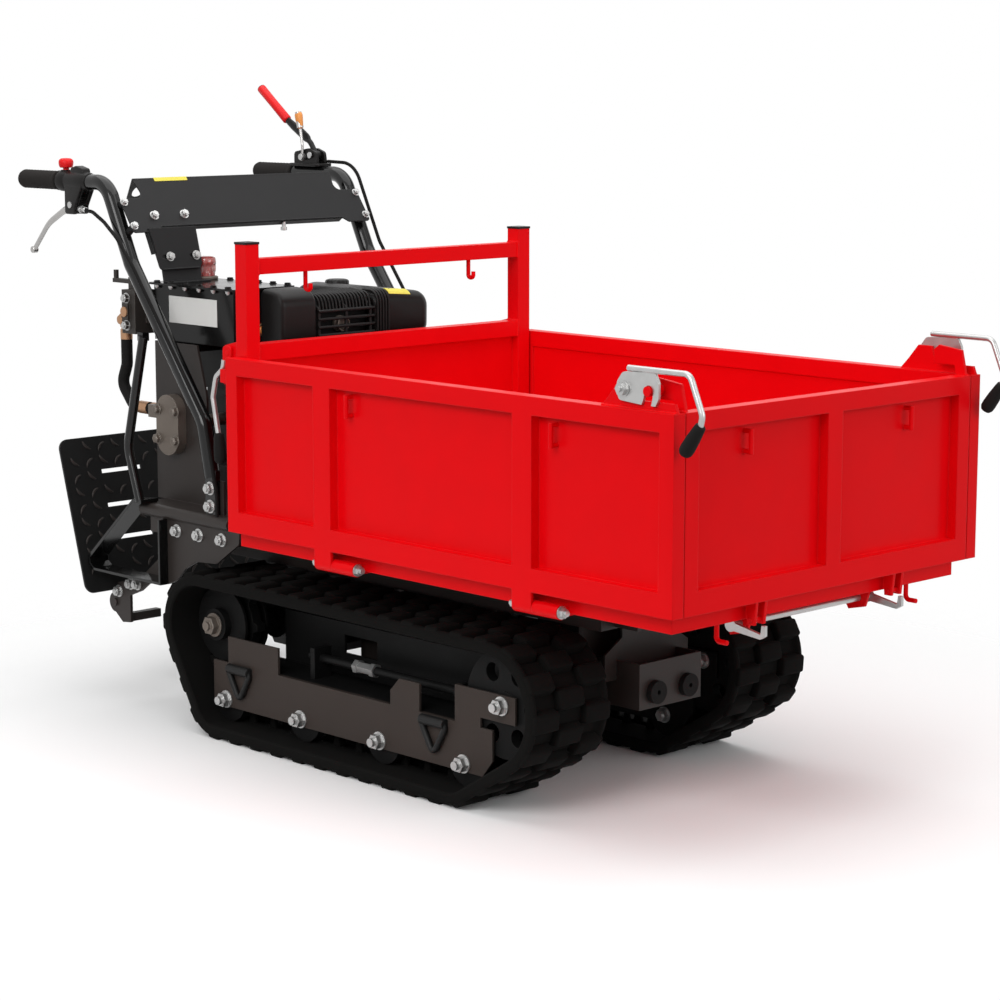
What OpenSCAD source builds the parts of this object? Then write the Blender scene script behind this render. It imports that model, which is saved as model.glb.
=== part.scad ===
// Tracked power carrier: a walk-behind tracked dumper with a drop-side tipping bed.
// Millimetres, +X forward, +Y to the left, +Z up, ground at Z 0.
// Stations along X are counted from the rear end of the bed's side panels.

/* [Bed] */
// Length of the side panels
bed_l = 1080; // [1040:5:1140]
// Width over the side panels
bed_w = 760; // [740:2:800]
// Height of the side panels
side_h = 313; // [270:1:360]
// Height of the panels' lower edge above the ground
bed_z = 411; // [405:1:440]
// Thickness of the panels' frames
panel_t = 25; // [22:1:27]
// Width of the top rails and end posts
rail_w = 30; // [20:1:40]
// Width of the bottom rails
sill_w = 38; // [25:1:50]
// Thickness of the sheet metal
sheet_t = 3; // [2:0.5:4]
// Gap between the bed's panels
panel_gap = 2; // [1:0.5:4]
// Depth of the floor's frame
floor_frame_h = 30; // [24:1:34]
// Side of the headboard's square posts
post_w = 30; // [24:1:34]
// Height of the headboard's posts above the side panels
post_up = 200; // [120:5:300]
// Height of the headboard's sheet above the side panels
head_up = 22; // [0:1:60]
// Size of the headboard's cross bar
bar_w = 28; // [20:1:40]
// Thickness of the post caps
cap_t = 4; // [2:1:8]
// Radius of the rope hooks' wire
hook_r = 4; // [3:0.5:5]
// Length of a rope hook
hook_l = 40; // [30:1:50]

/* [Side hinges] */
// Station of the rear hinge strap
strap_rear_x = 262; // [200:2:320]
// Station of the front hinge strap
strap_front_x = 754; // [650:2:840]
// Width of the hinge straps
strap_w = 44; // [30:1:60]
// Thickness of the hinge straps
strap_t = 6; // [4:1:8]
// Radius of the hinge barrels
barrel_r = 12; // [10:0.5:14]
// Drop of the hinge line below the panels
hinge_drop = 26; // [22:1:32]
// Length of the bed's hinge barrels
barrel_l = 56; // [40:1:70]
// Radius of the hinge bolts
hinge_bolt_r = 6; // [4:0.5:8]

/* [Latches] */
// Pivot's distance behind the tailgate's face
latch_back = 107; // [95:1:120]
// Pin's distance behind the tailgate's face
pin_back = 55; // [45:1:60]
// Height of pin and pivot above the side panels
latch_up = 30; // [26:1:36]
// Radius of the tailgate's pins
pin_r = 8; // [6:0.5:10]
// Radius of the latches' pivots
latch_pivot_r = 5; // [4:0.5:6]
// Thickness of latch plates and their brackets
plate_t = 5; // [4:0.5:6]
// Radius of the latch rods
latch_rod_r = 5; // [4:0.5:6]
// Radius of the latch grips
latch_grip_r = 11; // [8:0.5:12]
// Room between a latch slot and its pin
slot_room = 1; // [0.8:0.1:2]

/* [Tailgate catch] */
// Distance of the catch rod behind the tailgate's face
catch_back = 64; // [50:1:80]
// Drop of the catch rod below the panels
catch_drop = 46; // [42:1:54]
// Radius of the catch rod
catch_r = 6; // [5:0.5:8]
// Distance of the catch hooks from the middle
catch_y = 172; // [140:1:200]

/* [Tipping] */
// Station of the tipping shaft
tip_x = 750; // [735:1:770]
// Height of the tipping shaft
tip_z = 348; // [342:1:351]
// Radius of the tipping shaft
tip_r = 12; // [10:0.5:15]
// Station of the cylinder's lower pivot
cyl_x = 60; // [40:1:80]
// Height of the cylinder's lower pivot
cyl_z = 238; // [215:1:250]
// Station of the cylinder's upper eye at rest
eye_x = 620; // [600:1:640]
// Height of the cylinder's upper eye at rest
eye_z = 356; // [351:1:357]
// Radius of the cylinder barrel
cyl_r = 30; // [24:1:34]
// Length of the cylinder barrel
cyl_l = 380; // [320:5:420]
// Radius of the piston rod
rod_r = 16; // [12:1:20]

/* [Tracks] */
// Distance of the track's middle from the machine's middle
track_y = 250; // [248:1:260]
// Width of the belt
belt_w = 180; // [150:2:184]
// Thickness of the belt without its lugs
carcass_t = 10; // [8:0.5:12]
// Height of the lugs
lug_h = 16; // [10:0.5:20]
// Pitch of the lugs and of the sprocket's teeth
lug_pitch = 60; // [56:0.5:62]
// Length of a lug along the belt
lug_l = 36; // [24:1:44]
// Station of the sprocket
sprocket_x = -155; // [-162:1:-148]
// Height of the sprocket's shaft
sprocket_z = 204; // [198:1:207]
// Number of sprocket teeth
sprocket_teeth = 8; // [8]
// Station of the idler
idler_x = 626; // [620:1:636]
// Height of the idler's axle
idler_z = 186; // [182:1:192]
// Radius of the idler
idler_r = 93; // [86:1:96]
// Station of the rear roller
roller_x = -115; // [-120:1:-110]
// Distance between rollers
roller_step = 216; // [212:1:218]
// Radius of the rollers
roller_r = 43; // [36:1:46]
// Radius of the rollers' and idlers' axle bolts
axle_r = 8; // [6:0.5:10]
// Half width of the space between the belt's guide horns
horn_in = 12; // [10:1:14]
// Width of a guide horn
horn_w = 8; // [6:1:9]
// Height of the guide horns
horn_h = 18; // [12:1:20]
// Width of a roller's running rim
rim_w = 20; // [14:1:22]

/* [Chassis] */
// Half distance between the outer faces of the main rails
rail_y = 150; // [140:1:160]
// Width of a main rail
rail_b = 40; // [30:1:50]
// Height of a main rail
rail_h = 56; // [40:1:60]
// Height of the main rails' lower face
rail_z = 303; // [300:1:306]
// Half distance between the deck's side tubes
deck_y = 298; // [290:1:305]
// Height of the deck's side tubes
deck_z = 401; // [396:1:405]
// Radius of the deck's side tubes
deck_r = 13; // [10:0.5:15]
// Thickness of the chassis plates
chassis_t = 5; // [4:0.5:6]
// Half width of the front bumper
bumper_y = 77; // [60:1:80]
// Station of the front bumper's face
bumper_x = 730; // [722:1:735]
// Radius of the bumper's buffers
buffer_r = 20; // [14:1:24]

/* [Handlebar] */
// Distance of the handlebar tubes from the middle
bar_y = 295; // [285:1:310]
// Radius of the handlebar tubes
tube_r = 15; // [12:0.5:16]
// Station of the grips' rear ends
grip_x = -745; // [-765:1:-742]
// Length of the grips
grip_l = 126; // [100:1:140]
// Height of the grips
grip_z = 1016; // [995:1:1050]
// Radius of the grips
grip_r = 18; // [16.5:0.5:21]
// Radius of the control cables
cable_r = 3.5; // [2.5:0.5:4]

/* [Power] */
// Height of the engine's feet
engine_z = 468; // [460:1:476]
// Station of the crankshaft
crank_x = -330; // [-340:1:-320]
// Height of the crankshaft
crank_z = 561; // [553:1:569]
// Height of the hydraulic tank's lid
lid_z = 828; // [815:1:842]
// Radius of the hydraulic hose
hose_r = 11; // [8:0.5:13]

/* [Step] */
// Half width of the operator step
step_y = 333; // [300:1:350]
// Length of the operator step
step_l = 307; // [260:1:330]
// Station of the step's hinge
step_x = -505; // [-515:1:-495]
// Height of the step's hinge
step_z = 193; // [185:1:210]
// Lean of the folded step
step_lean = 16; // [10:1:20]
// Radius of the step's hinge pins
step_pin_r = 8; // [6:0.5:10]

/* [Fits] */
// Radial clearance of turning fits
turn_gap = 0.05; // [0.02:0.01:0.1]
// Clearance between moving faces
run_gap = 0.5; // [0.4:0.1:1]

/* [Hidden] */
$fn = 40;

red = "#d8101c";
black = "#26262a";
rubber = "#1a1a1a";
zinc = "#b9bcc0";
copper = "#a06a44";
cast_grey = "#8a8782";

// Bed faces and lines that several pieces share
half_w = bed_w / 2;
panel_in = half_w - panel_t;
bed_top = bed_z + side_h;
gate_back = bed_l - panel_t;
gate_y = panel_in - panel_gap;
floor_y = panel_in - 2 * panel_gap;
floor_bottom = bed_z - floor_frame_h;
straps = [strap_rear_x, strap_front_x];
hinge_y = half_w - barrel_r;
hinge_z = bed_z - hinge_drop;
post_x = -5;
post_y = panel_in - panel_gap - post_w / 2 - 2;
post_top = bed_top + post_up;
head_top = bed_top + head_up;

// Latch planes, counted from the middle of the machine
latch_x = bed_l - latch_back;
pin_x = bed_l - pin_back;
latch_z = bed_top + latch_up;
latch_arm = latch_back - pin_back;
bracket_y = half_w - 8;
latch_y = bracket_y + run_gap;
ear_y = panel_in - 5;
rear_pivot = [-30, bed_top + 5];
rear_pin = [-30, bed_top - 37];
rear_hook_y = ear_y + 2;

// Tracks
sprocket_r = lug_pitch / (2 * sin(180 / sprocket_teeth));
tooth_h = 5;
roller_z = roller_r + run_gap + carcass_t + lug_h;
roller_xs = [for (i = [0:3]) roller_x + i * roller_step];
rim_in = horn_in + horn_w + 2;
rim_out = rim_in + rim_w;
frame_out = track_y + rim_out + 3;
frame_in = track_y - rim_out - 3;
wheels = [[roller_xs[0], roller_z, roller_r], [roller_xs[3], roller_z, roller_r],
    [idler_x, idler_z, idler_r], [sprocket_x, sprocket_z, sprocket_r]];

// Middle of the part's box, where the origin sits
front_reach = bed_l + 57;
origin_x = (front_reach + grip_x) / 2;

// Tipping cylinder's line at rest
cyl_angle = atan2(eye_z - cyl_z, eye_x - cyl_x);
cyl_span = norm([eye_x - cyl_x, eye_z - cyl_z]);
eye_r = 20;
eye_w = 36;

// Lap and swelling of the bends in rods and tubes
bend_lap = 1;
bend_swell = 0.15;

// Routes of the handlebar tubes, the cables and the hose, as points along X and Z
bar_path = [[-154, 483], [-176, 583], [-392, 865], [-466, grip_z], [grip_x + 4, grip_z]];
right_cable = [[-512, 959], [-440, 913], [-376, 877], [-150, 593], [-118, 453], [-118, 415]];
left_cable = [[-536, 1039.8], [-452, 1038], [-376, 883], [-150, 593], [-118, 453], [-118, 415]];
hose_path = [[-490, 713], [-490, 663], [-507, 625], [-470, 583]];
stay_path = [[-327, 734], [-384, 519], [-349, 417]];

module block(x, y, z) {
    translate([x[0], y[0], z[0]]) cube([x[1] - x[0], y[1] - y[0], z[1] - z[0]]);
}

module both_sides() {
    children();
    mirror([0, 1, 0]) children();
}

module left_side() {
    mirror([0, 1, 0]) children();
}

// A flat shape in X and Z, thick from y[0] to y[1]
module side_plate(y) {
    translate([0, y[1], 0]) rotate([90, 0, 0]) linear_extrude(y[1] - y[0]) children();
}

// A flat shape in Y and Z, thick from x[0] to x[1]
module cross_plate(x) {
    translate([x[0], 0, 0]) rotate([90, 0, 90]) linear_extrude(x[1] - x[0]) children();
}

module shaft_y(x, z, y, r) {
    translate([x, y[0], z]) rotate([-90, 0, 0]) cylinder(h = y[1] - y[0], r = r);
}

module shaft_x(y, z, x, r) {
    translate([x[0], y, z]) rotate([0, 90, 0]) cylinder(h = x[1] - x[0], r = r);
}

module hex_y(x, z, y, r) {
    translate([x, y[0], z]) rotate([-90, 0, 0]) cylinder(h = y[1] - y[0], r = r, $fn = 6);
}

function unit(a, b) = (b - a) / norm(b - a);
function heading(d) = atan2(d[1], d[0]);
function bend_of(a, b, c) = let (p = unit(a, b), q = unit(b, c))
    atan2(p[0] * q[1] - p[1] * q[0], p * q);

// A round rod bent along points in X and Z, with every corner turned at one radius.
// The straights end a little inside the bends, which are thicker by a hair.
module bent_rod(path, r, bend) {
    last = len(path) - 1;
    trims = [for (i = [0:last]) i == 0 || i == last ? 0 :
        bend * tan(abs(bend_of(path[i - 1], path[i], path[i + 1])) / 2)];
    rotate([90, 0, 0]) union() {
        for (i = [0:last - 1]) {
            d = unit(path[i], path[i + 1]);
            start = trims[i] - (i > 0 ? bend_lap : 0);
            end = norm(path[i + 1] - path[i]) - trims[i + 1] + (i + 1 < last ? bend_lap : 0);
            translate(path[i] + d * start) rotate([0, 0, heading(d)]) rotate([0, 90, 0])
                cylinder(h = end - start, r = r);
        }
        for (i = [1:1:last - 1]) {
            d = unit(path[i - 1], path[i]);
            turn = bend_of(path[i - 1], path[i], path[i + 1]);
            hand = sign(turn);
            centre = path[i] - d * trims[i] + hand * bend * [-d[1], d[0]];
            first = turn > 0 ? heading(d) - 90 : heading(d) + 90 + turn;
            translate(centre) rotate([0, 0, first])
                rotate_extrude(angle = abs(turn)) translate([bend, 0]) circle(r + bend_swell);
        }
    }
}

// Belt line: tangents and arcs around the wheels, counter-clockwise seen from the right
count = len(wheels);
function wheel(i) = wheels[i % count];
function middle(i) = [wheel(i)[0], wheel(i)[1]];
function normal_of(i) = let (d = unit(middle(i), middle(i + 1)),
    s = (wheel(i)[2] - wheel(i + 1)[2]) / norm(middle(i + 1) - middle(i)))
    s * d + sqrt(1 - s * s) * [d[1], -d[0]];
normals = [for (i = [0:count - 1]) normal_of(i)];
function wrap(a) = a < 0 ? a + 360 : a;
function arc_turn(i) = wrap(heading(normals[i % count]) - heading(normals[(i + count - 1) % count]));
function touch(i, wheel_no, grow) = middle(wheel_no) + (wheel(wheel_no)[2] + grow) * normals[i];
lug_grow = run_gap + carcass_t;
arc_runs = [for (i = [0:count - 1]) arc_turn(i) * PI / 180 * (wheel(i)[2] + lug_grow)];
line_runs = [for (i = [0:count - 1]) norm(touch(i, i + 1, lug_grow) - touch(i, i, lug_grow))];
runs = [for (i = [0:count - 1]) each [arc_runs[i], line_runs[i]]];
function total(list, i = 0) = i == len(list) ? 0 : list[i] + total(list, i + 1);
belt_run = total(runs);
lug_count = round(belt_run / lug_pitch);
lug_step = belt_run / lug_count;

// Point and outward angle at a distance along the belt's outer face
function arc_point(i, s) = let (a = heading(normals[(i + count - 1) % count])
    + s / (wheel(i)[2] + lug_grow) * 180 / PI)
    concat(middle(i) + (wheel(i)[2] + lug_grow) * [cos(a), sin(a)], [a]);
function line_point(i, s) = let (p = touch(i, i, lug_grow), q = touch(i, i + 1, lug_grow))
    concat(p + unit(p, q) * s, [heading(normals[i])]);
function along(s, k = 0) = s <= runs[k] || k == len(runs) - 1 ?
    (k % 2 == 0 ? arc_point(floor(k / 2), s) : line_point(floor(k / 2), s)) : along(s - runs[k], k + 1);

// The straight runs lie a hair inside the arcs' tangents, so that they cross the arcs cleanly
belt_inset = 0.06;

module belt_outline(grow) {
    flat = grow - belt_inset;
    polygon([for (i = [0:count - 1]) each [touch(i, i, flat), touch(i, i + 1, flat)]]);
    for (w = wheels) {
        translate([w[0], w[1]]) circle(w[2] + grow);
    }
}

module lug_row(y, shift) {
    side_plate(y) for (i = [0:lug_count - 1]) {
        p = along((i + shift) * lug_step);
        translate([p[0], p[1]]) rotate(p[2])
            polygon([[-3, -lug_l / 2], [lug_h, -lug_l / 2 + 5], [lug_h, lug_l / 2 - 5], [-3, lug_l / 2]]);
    }
}

module horn_row(y) {
    side_plate(y) for (i = [0:lug_count - 1]) {
        p = along((i + 0.5) * lug_step);
        translate([p[0], p[1]]) rotate(p[2])
            polygon([[-carcass_t - horn_h, -5], [2 - carcass_t, -10], [2 - carcass_t, 10],
                [-carcass_t - horn_h, 5]]);
    }
}

module track_belt() {
    out = -track_y - belt_w / 2;
    row_w = belt_w / 3;
    color(rubber) union() {
        difference() {
            side_plate([out, out + belt_w]) difference() {
                belt_outline(lug_grow);
                belt_outline(run_gap);
            }
            side_plate([-track_y - horn_in + 1, -track_y + horn_in - 1])
                belt_outline(run_gap + tooth_h + 1);
        }
        lug_row([out, out + row_w], 0);
        lug_row([out + row_w, out + 2 * row_w], 0.5);
        lug_row([out + 2 * row_w, out + belt_w], 0);
        horn_row([-track_y - horn_in - horn_w, -track_y - horn_in]);
        horn_row([-track_y + horn_in, -track_y + horn_in + horn_w]);
    }
}

module track_belt_right() {
    track_belt();
}

module track_belt_left() {
    left_side() track_belt();
}

// A double-rimmed wheel on its own bored hub
module wheel_on_bolt(x, z, r, hub_r) {
    difference() {
        union() {
            shaft_y(x, z, [-track_y - rim_out, -track_y - rim_in], r);
            shaft_y(x, z, [-track_y + rim_in, -track_y + rim_out], r);
            shaft_y(x, z, [-track_y - rim_out - 2, -track_y + rim_out + 2], hub_r);
        }
        shaft_y(x, z, [-track_y - rim_out - 3, -track_y + rim_out + 3], axle_r + turn_gap);
    }
}

module roller(i) {
    color(black) wheel_on_bolt(roller_xs[i], roller_z, roller_r, axle_r + 10);
}

module roller_1_right() {
    roller(0);
}

module roller_2_right() {
    roller(1);
}

module roller_3_right() {
    roller(2);
}

module roller_4_right() {
    roller(3);
}

module roller_1_left() {
    left_side() roller(0);
}

module roller_2_left() {
    left_side() roller(1);
}

module roller_3_left() {
    left_side() roller(2);
}

module roller_4_left() {
    left_side() roller(3);
}

module idler() {
    spoke_r = (idler_r + axle_r + 20) / 2;
    color(black) difference() {
        wheel_on_bolt(idler_x, idler_z, idler_r, axle_r + 16);
        for (a = [0:60:300]) {
            shaft_y(idler_x + spoke_r * cos(a), idler_z + spoke_r * sin(a),
                [-track_y - rim_out - 3, -track_y + rim_out + 3], 16);
        }
    }
}

module idler_right() {
    idler();
}

module idler_left() {
    left_side() idler();
}

gear_y = 105;
shaft_r = 15;
shaft_in = 70;

// The toothed wheel, its two carrying discs, hub, drive shaft, washer and castle nut
module sprocket() {
    hub_out = -track_y - rim_in - 22;
    color(black) union() {
        side_plate([-track_y - horn_in + 2, -track_y + horn_in - 2]) translate([sprocket_x, sprocket_z]) {
            circle(sprocket_r - 8);
            for (i = [0:sprocket_teeth - 1]) {
                rotate(i * 360 / sprocket_teeth)
                    polygon([[sprocket_r - 12, -12], [sprocket_r + tooth_h - 1, -6],
                        [sprocket_r + tooth_h - 1, 6], [sprocket_r - 12, 12]]);
            }
        }
        for (s = [-1, 1]) {
            inner = -track_y + s * rim_in;
            shaft_y(sprocket_x, sprocket_z, [min(inner, inner + s * 6), max(inner, inner + s * 6)],
                sprocket_r - 8);
        }
        shaft_y(sprocket_x, sprocket_z, [hub_out, -track_y + rim_in + 10], 30);
        shaft_y(sprocket_x, sprocket_z, [-track_y, -shaft_in], shaft_r);
        shaft_y(sprocket_x, sprocket_z, [hub_out - 4, hub_out], 22);
        hex_y(sprocket_x, sprocket_z, [hub_out - 16, hub_out - 4], 15);
        shaft_y(sprocket_x, sprocket_z, [hub_out - 22, hub_out - 16], 8);
    }
}

module sprocket_right() {
    sprocket();
}

module sprocket_left() {
    left_side() sprocket();
}

plate_top = roller_z + 70;
plate_low = roller_z - 14;
tensioner_z = plate_top + 36;
fork_x = [idler_x - 62, idler_x + 32];
fork_z = [idler_z - 29, idler_z + 18];
tab_up = plate_top + 50;
shield_up = 98;

// Outline of the long side plate, with its tabs and the chamfered front corner
module frame_side(with_tabs) {
    rear = roller_xs[0] - 38;
    front = roller_xs[3] + 70;
    difference() {
        union() {
            polygon([[rear, plate_low], [front - 24, plate_low], [front, plate_low + 30],
                [front, plate_top], [rear, plate_top]]);
            if (with_tabs) {
                translate([rear + 44, plate_top - 1]) square([146, tab_up - plate_top + 1]);
                polygon([[rear + 499, plate_top - 1], [rear + 574, plate_top - 1], [rear + 574, tab_up],
                    [rear + 522, tab_up], [rear + 499, tab_up - 24]]);
            }
        }
        for (x = roller_xs) {
            translate([x, roller_z]) circle(axle_r + turn_gap);
        }
    }
}

module lashing_ring(x) {
    z = plate_top - 8;
    block([x - 30, x + 30], [-frame_out - chassis_t - 12, -frame_out - chassis_t + 1], [z - 7, z + 7]);
    translate([0, -frame_out - chassis_t - 6, 0])
        bent_rod([[x - 4, z], [x - 34, z], [x, z - 58], [x + 34, z], [x + 4, z]], 5, 8);
}

module track_frame() {
    top_x = [sprocket_x + sprocket_r + 20, idler_x - idler_r - 12];
    outer = [-frame_out - chassis_t, -frame_out];
    inner = [-frame_in, -frame_in + chassis_t];
    color(black) union() {
        side_plate(outer) frame_side(true);
        side_plate(inner) {
            frame_side(false);
            difference() {
                translate([top_x[0], plate_top - 1]) square([top_x[1] - top_x[0], shield_up]);
                translate([top_x[0] + 170, plate_top + 40]) square([90, 34]);
            }
        }
        block(top_x, [outer[0], inner[1]], [plate_top - chassis_t, plate_top]);
        for (y = [outer, inner]) {
            side_plate(y) difference() {
                translate([fork_x[0], fork_z[0]]) square([fork_x[1] - fork_x[0], fork_z[1] - fork_z[0]]);
                translate([idler_x, idler_z]) circle(axle_r + turn_gap);
            }
            block([idler_x - idler_r - 22, fork_x[0] + 10], y, [plate_top - 2, fork_z[1]]);
        }
        block([idler_x - idler_r - 22, idler_x - idler_r - 12], [outer[0], inner[1]],
            [plate_top - 2, fork_z[1]]);
        block([top_x[0] + 150, top_x[0] + 162], [-track_y - 20, -track_y + 20],
            [plate_top - 1, tensioner_z + 20]);
        shaft_x(-track_y, tensioner_z, [top_x[0] + 130, idler_x - idler_r - 60], axle_r);
        shaft_x(-track_y, tensioner_z, [idler_x - idler_r - 64, idler_x - idler_r - 12], axle_r + 6);
        lashing_ring(roller_xs[0] + 45);
        lashing_ring(roller_xs[3] - 70);
    }
}

module track_frame_right() {
    track_frame();
}

module track_frame_left() {
    left_side() track_frame();
}

rail_top = rail_z + rail_h;
rail_in = rail_y - rail_b;
deck_x = [-365, -95];
deck_top = deck_z + deck_r;
beam_z = [plate_top - 34, plate_top - 4];
beam_xs = [120, 430];
ear_t = 10;
ear_in = 90;
cyl_pin_r = 10;
pump_plate_y = 246;

module tip_lug(y) {
    side_plate(y) difference() {
        polygon([[tip_x - 70, rail_z + 4], [tip_x + 14, rail_z + 4], [tip_x + 24, tip_z - 6],
            [tip_x + 24, tip_z + 10], [tip_x + 10, tip_z + 22], [tip_x - 10, tip_z + 22],
            [tip_x - 70, rail_top]]);
        translate([tip_x, tip_z]) circle(tip_r);
    }
}

// Rails, cross beams, deck, gussets, engine stand, tipping shaft and the cylinder's lower lugs
module main_frame() {
    rail_x = [deck_x[0] + 20, tip_x - 40];
    color(black) union() {
        both_sides() {
            block(rail_x, [-rail_y, -rail_in], [rail_z, rail_top]);
            for (x = beam_xs) {
                block([x - 25, x + 25], [-rail_y, -rail_in], [beam_z[1] - 1, rail_z + 1]);
            }
            tip_lug([-ear_in - 3 * ear_t, -ear_in - 2 * ear_t]);
            tip_lug([-ear_in, -ear_in + ear_t]);
            block([tip_x - 80, tip_x - 55], [-ear_in - 3 * ear_t, -ear_in + ear_t],
                [rail_z + 4, rail_top - 6]);
            shaft_x(-deck_y, deck_z, deck_x, deck_r);
            side_plate([-deck_y - chassis_t / 2, -deck_y + chassis_t / 2])
                polygon([[deck_x[0] + 76, deck_z], [deck_x[0] + 76, guard_low],
                    [deck_x[0] + 103, guard_low + 11],
                    [deck_x[0] + 130, guard_low + 37], [deck_x[0] + 165, guard_low + 55],
                    [deck_x[0] + 226, guard_low + 59], [deck_x[1] + 23, deck_z - 34],
                    [deck_x[1] + 26, deck_z - 10], [deck_x[1] + 26, deck_z]]);
            block([-182, -128], [-bar_y + 5, -bar_y + 11], [deck_top - 1, bar_path[0][1] - 6]);
        }
        for (x = beam_xs) {
            block([x - 25, x + 25], [-frame_in + chassis_t, frame_in - chassis_t], beam_z);
        }
        for (x = [deck_x[0] + 20, deck_x[1] - 40]) {
            block([x, x + 40], [-deck_y, deck_y], [rail_top - 1, rail_top + 36]);
        }
        block(deck_x, [-deck_y, deck_y], [deck_top - 8, deck_top]);
        for (y = [-120, 90]) {
            block([-395, -110], [y, y + 30], [deck_top - 1, engine_z - 10]);
        }
        block([-410, -100], [-130, 130], [engine_z - 10, engine_z]);
        side_plate([-pump_plate_y, -pump_plate_y + chassis_t]) difference() {
            polygon([[-390, deck_top - 1], [-232, deck_top - 1], [-232, crank_z + 60], [-260, 717],
                [-390, 717]]);
            translate([crank_x, crank_z]) circle(34);
        }
        shaft_y(tip_x, tip_z, [-ear_in - 3 * ear_t - 6, ear_in + 3 * ear_t + 6], tip_r);
        both_sides() side_plate([-eye_w / 2 - 12, -eye_w / 2 - 2]) {
            polygon([[cyl_x - 30, cyl_z - 20], [cyl_x + 40, beam_z[1] - 1],
                [beam_xs[0] + 25, beam_z[1] - 1],
                [beam_xs[0] + 25, beam_z[1] + 20], [cyl_x + 24, cyl_z + 12]]);
            translate([cyl_x, cyl_z]) circle(26);
        }
        shaft_y(cyl_x, cyl_z, [-eye_w / 2 - 16, eye_w / 2 + 16], cyl_pin_r);
        block([deck_x[0] - 6, sprocket_x + 30], [-rail_in - 2, rail_in + 2], [rail_z + 14, rail_z + 24]);
    }
}

module gearbox() {
    color(black) difference() {
        union() {
            side_plate([-gear_y, gear_y])
                polygon([[-215, 133], [-60, 133], [-40, 153], [-40, 283], [-70, rail_z + 14],
                    [-200, rail_z + 14],
                    [-235, 275], [-235, 163]]);
            for (s = [-1, 1]) {
                shaft_y(sprocket_x, sprocket_z,
                    s < 0 ? [-rail_y - 4, -gear_y + 2] : [gear_y - 2, rail_y + 4], 45);
            }
            shaft_x(0, 218, [-262, -230], 40);
        }
        shaft_y(sprocket_x, sprocket_z, [-rail_y - 12, -shaft_in + 2], shaft_r + turn_gap);
        shaft_y(sprocket_x, sprocket_z, [shaft_in - 2, rail_y + 12], shaft_r + turn_gap);
    }
}

bumper_z = [158, 238];
buffer_y = 40;
buffer_z = 186;

module front_bumper() {
    front = [bumper_x - chassis_t, bumper_x];
    color(black) union() {
        block(front, [-bumper_y, bumper_y], bumper_z);
        both_sides() block([bumper_x - 110, bumper_x - 1], [-bumper_y, -bumper_y + chassis_t], bumper_z);
        block([bumper_x - 110, bumper_x - 1], [-bumper_y, bumper_y],
            [bumper_z[0], bumper_z[0] + chassis_t]);
        cross_plate([bumper_x - 60, bumper_x - 55])
            polygon([[-104, 203], [104, 203], [104, 249], [62, 275], [62, rail_z + 20], [-62, rail_z + 20],
                [-62, 275], [-104, 249]]);
        block([bumper_x - 112, bumper_x - 104], [-rail_in, rail_in], [bumper_z[0], rail_z + 20]);
        both_sides() block([bumper_x - 112, bumper_x - 61], [-rail_in, -rail_in + 6],
            [rail_z, rail_z + 20]);
    }
}

module bumper_buffers() {
    color(rubber) both_sides() difference() {
        shaft_x(-buffer_y, buffer_z, [bumper_x, bumper_x + 11], buffer_r);
        shaft_x(-buffer_y, buffer_z, [bumper_x + 5, bumper_x + 12], 4);
    }
}

module engine_block() {
    color(black) union() {
        side_plate([-112, 95])
            polygon([[-404, engine_z], [-236, engine_z], [-222, engine_z + 30], [-222, 653], [-390, 653],
                [-404, 633]]);
        side_plate([-80, 60]) polygon([[-240, 513], [-110, 573], [-110, 703], [-150, 703], [-260, 653]]);
        for (i = [0:5]) {
            side_plate([-95, 75]) translate([-220 + 18 * i, 533 + 10 * i]) rotate(-24) square([5, 135]);
        }
        block([-380, -240], [-118, 94], [engine_z, engine_z + 12]);
        block([-340, -150], [-70, 40], [649, 718]);
        shaft_y(crank_x, crank_z, [-130, -108], 45);
    }
}

module recoil_cover() {
    color(black) union() {
        shaft_y(crank_x, crank_z + 8, [95, 130], 96);
        shaft_y(crank_x, crank_z + 8, [130, 146], 70);
        block([crank_x + 60, crank_x + 110], [95, 128], [crank_z + 60, crank_z + 100]);
        shaft_x(112, crank_z + 88, [crank_x + 108, crank_x + 140], 9);
    }
}

muffler_y = [-96, 36];
muffler_x = [-150, -88];
guard_x = -78;

module muffler() {
    color(black) union() {
        side_plate(muffler_y) polygon([[muffler_x[0], engine_z + 247], [muffler_x[1], engine_z + 247],
            [muffler_x[1], engine_z + 313],
            [muffler_x[1] - 22, engine_z + 341], [muffler_x[0], engine_z + 345]]);
        for (i = [0:4]) {
            shaft_y(guard_x, engine_z + 253 + 15 * i, [muffler_y[0] - 2, muffler_y[1] + 4], 3);
        }
        for (y = [muffler_y[0], -30, muffler_y[1] - 6]) {
            block([muffler_x[1] - 2, guard_x + 1], [y, y + 6], [engine_z + 249, engine_z + 317]);
        }
        block([muffler_x[0] + 10, muffler_x[1]], [-60, 0], [engine_z + 235, engine_z + 249]);
    }
}

air_x = [-145, -78];
air_y = [-186, -100];

module air_cleaner() {
    color(black) difference() {
        union() {
            side_plate(air_y) polygon([[air_x[0], engine_z + 241], [air_x[1], engine_z + 241],
                [air_x[1], engine_z + 343],
                [air_x[1] - 18, engine_z + 359],
                [air_x[0], engine_z + 361]]);
            block([air_x[0] + 8, air_x[1] - 22], [air_y[1] - 2, muffler_y[0]],
                [engine_z + 257, engine_z + 305]);
        }
        for (i = [0:5]) {
            block([air_x[1] - 4, air_x[1] + 1], [air_y[0] + 8, air_y[1] - 6],
                [engine_z + 251 + 15 * i, engine_z + 257 + 15 * i]);
        }
    }
}

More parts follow.
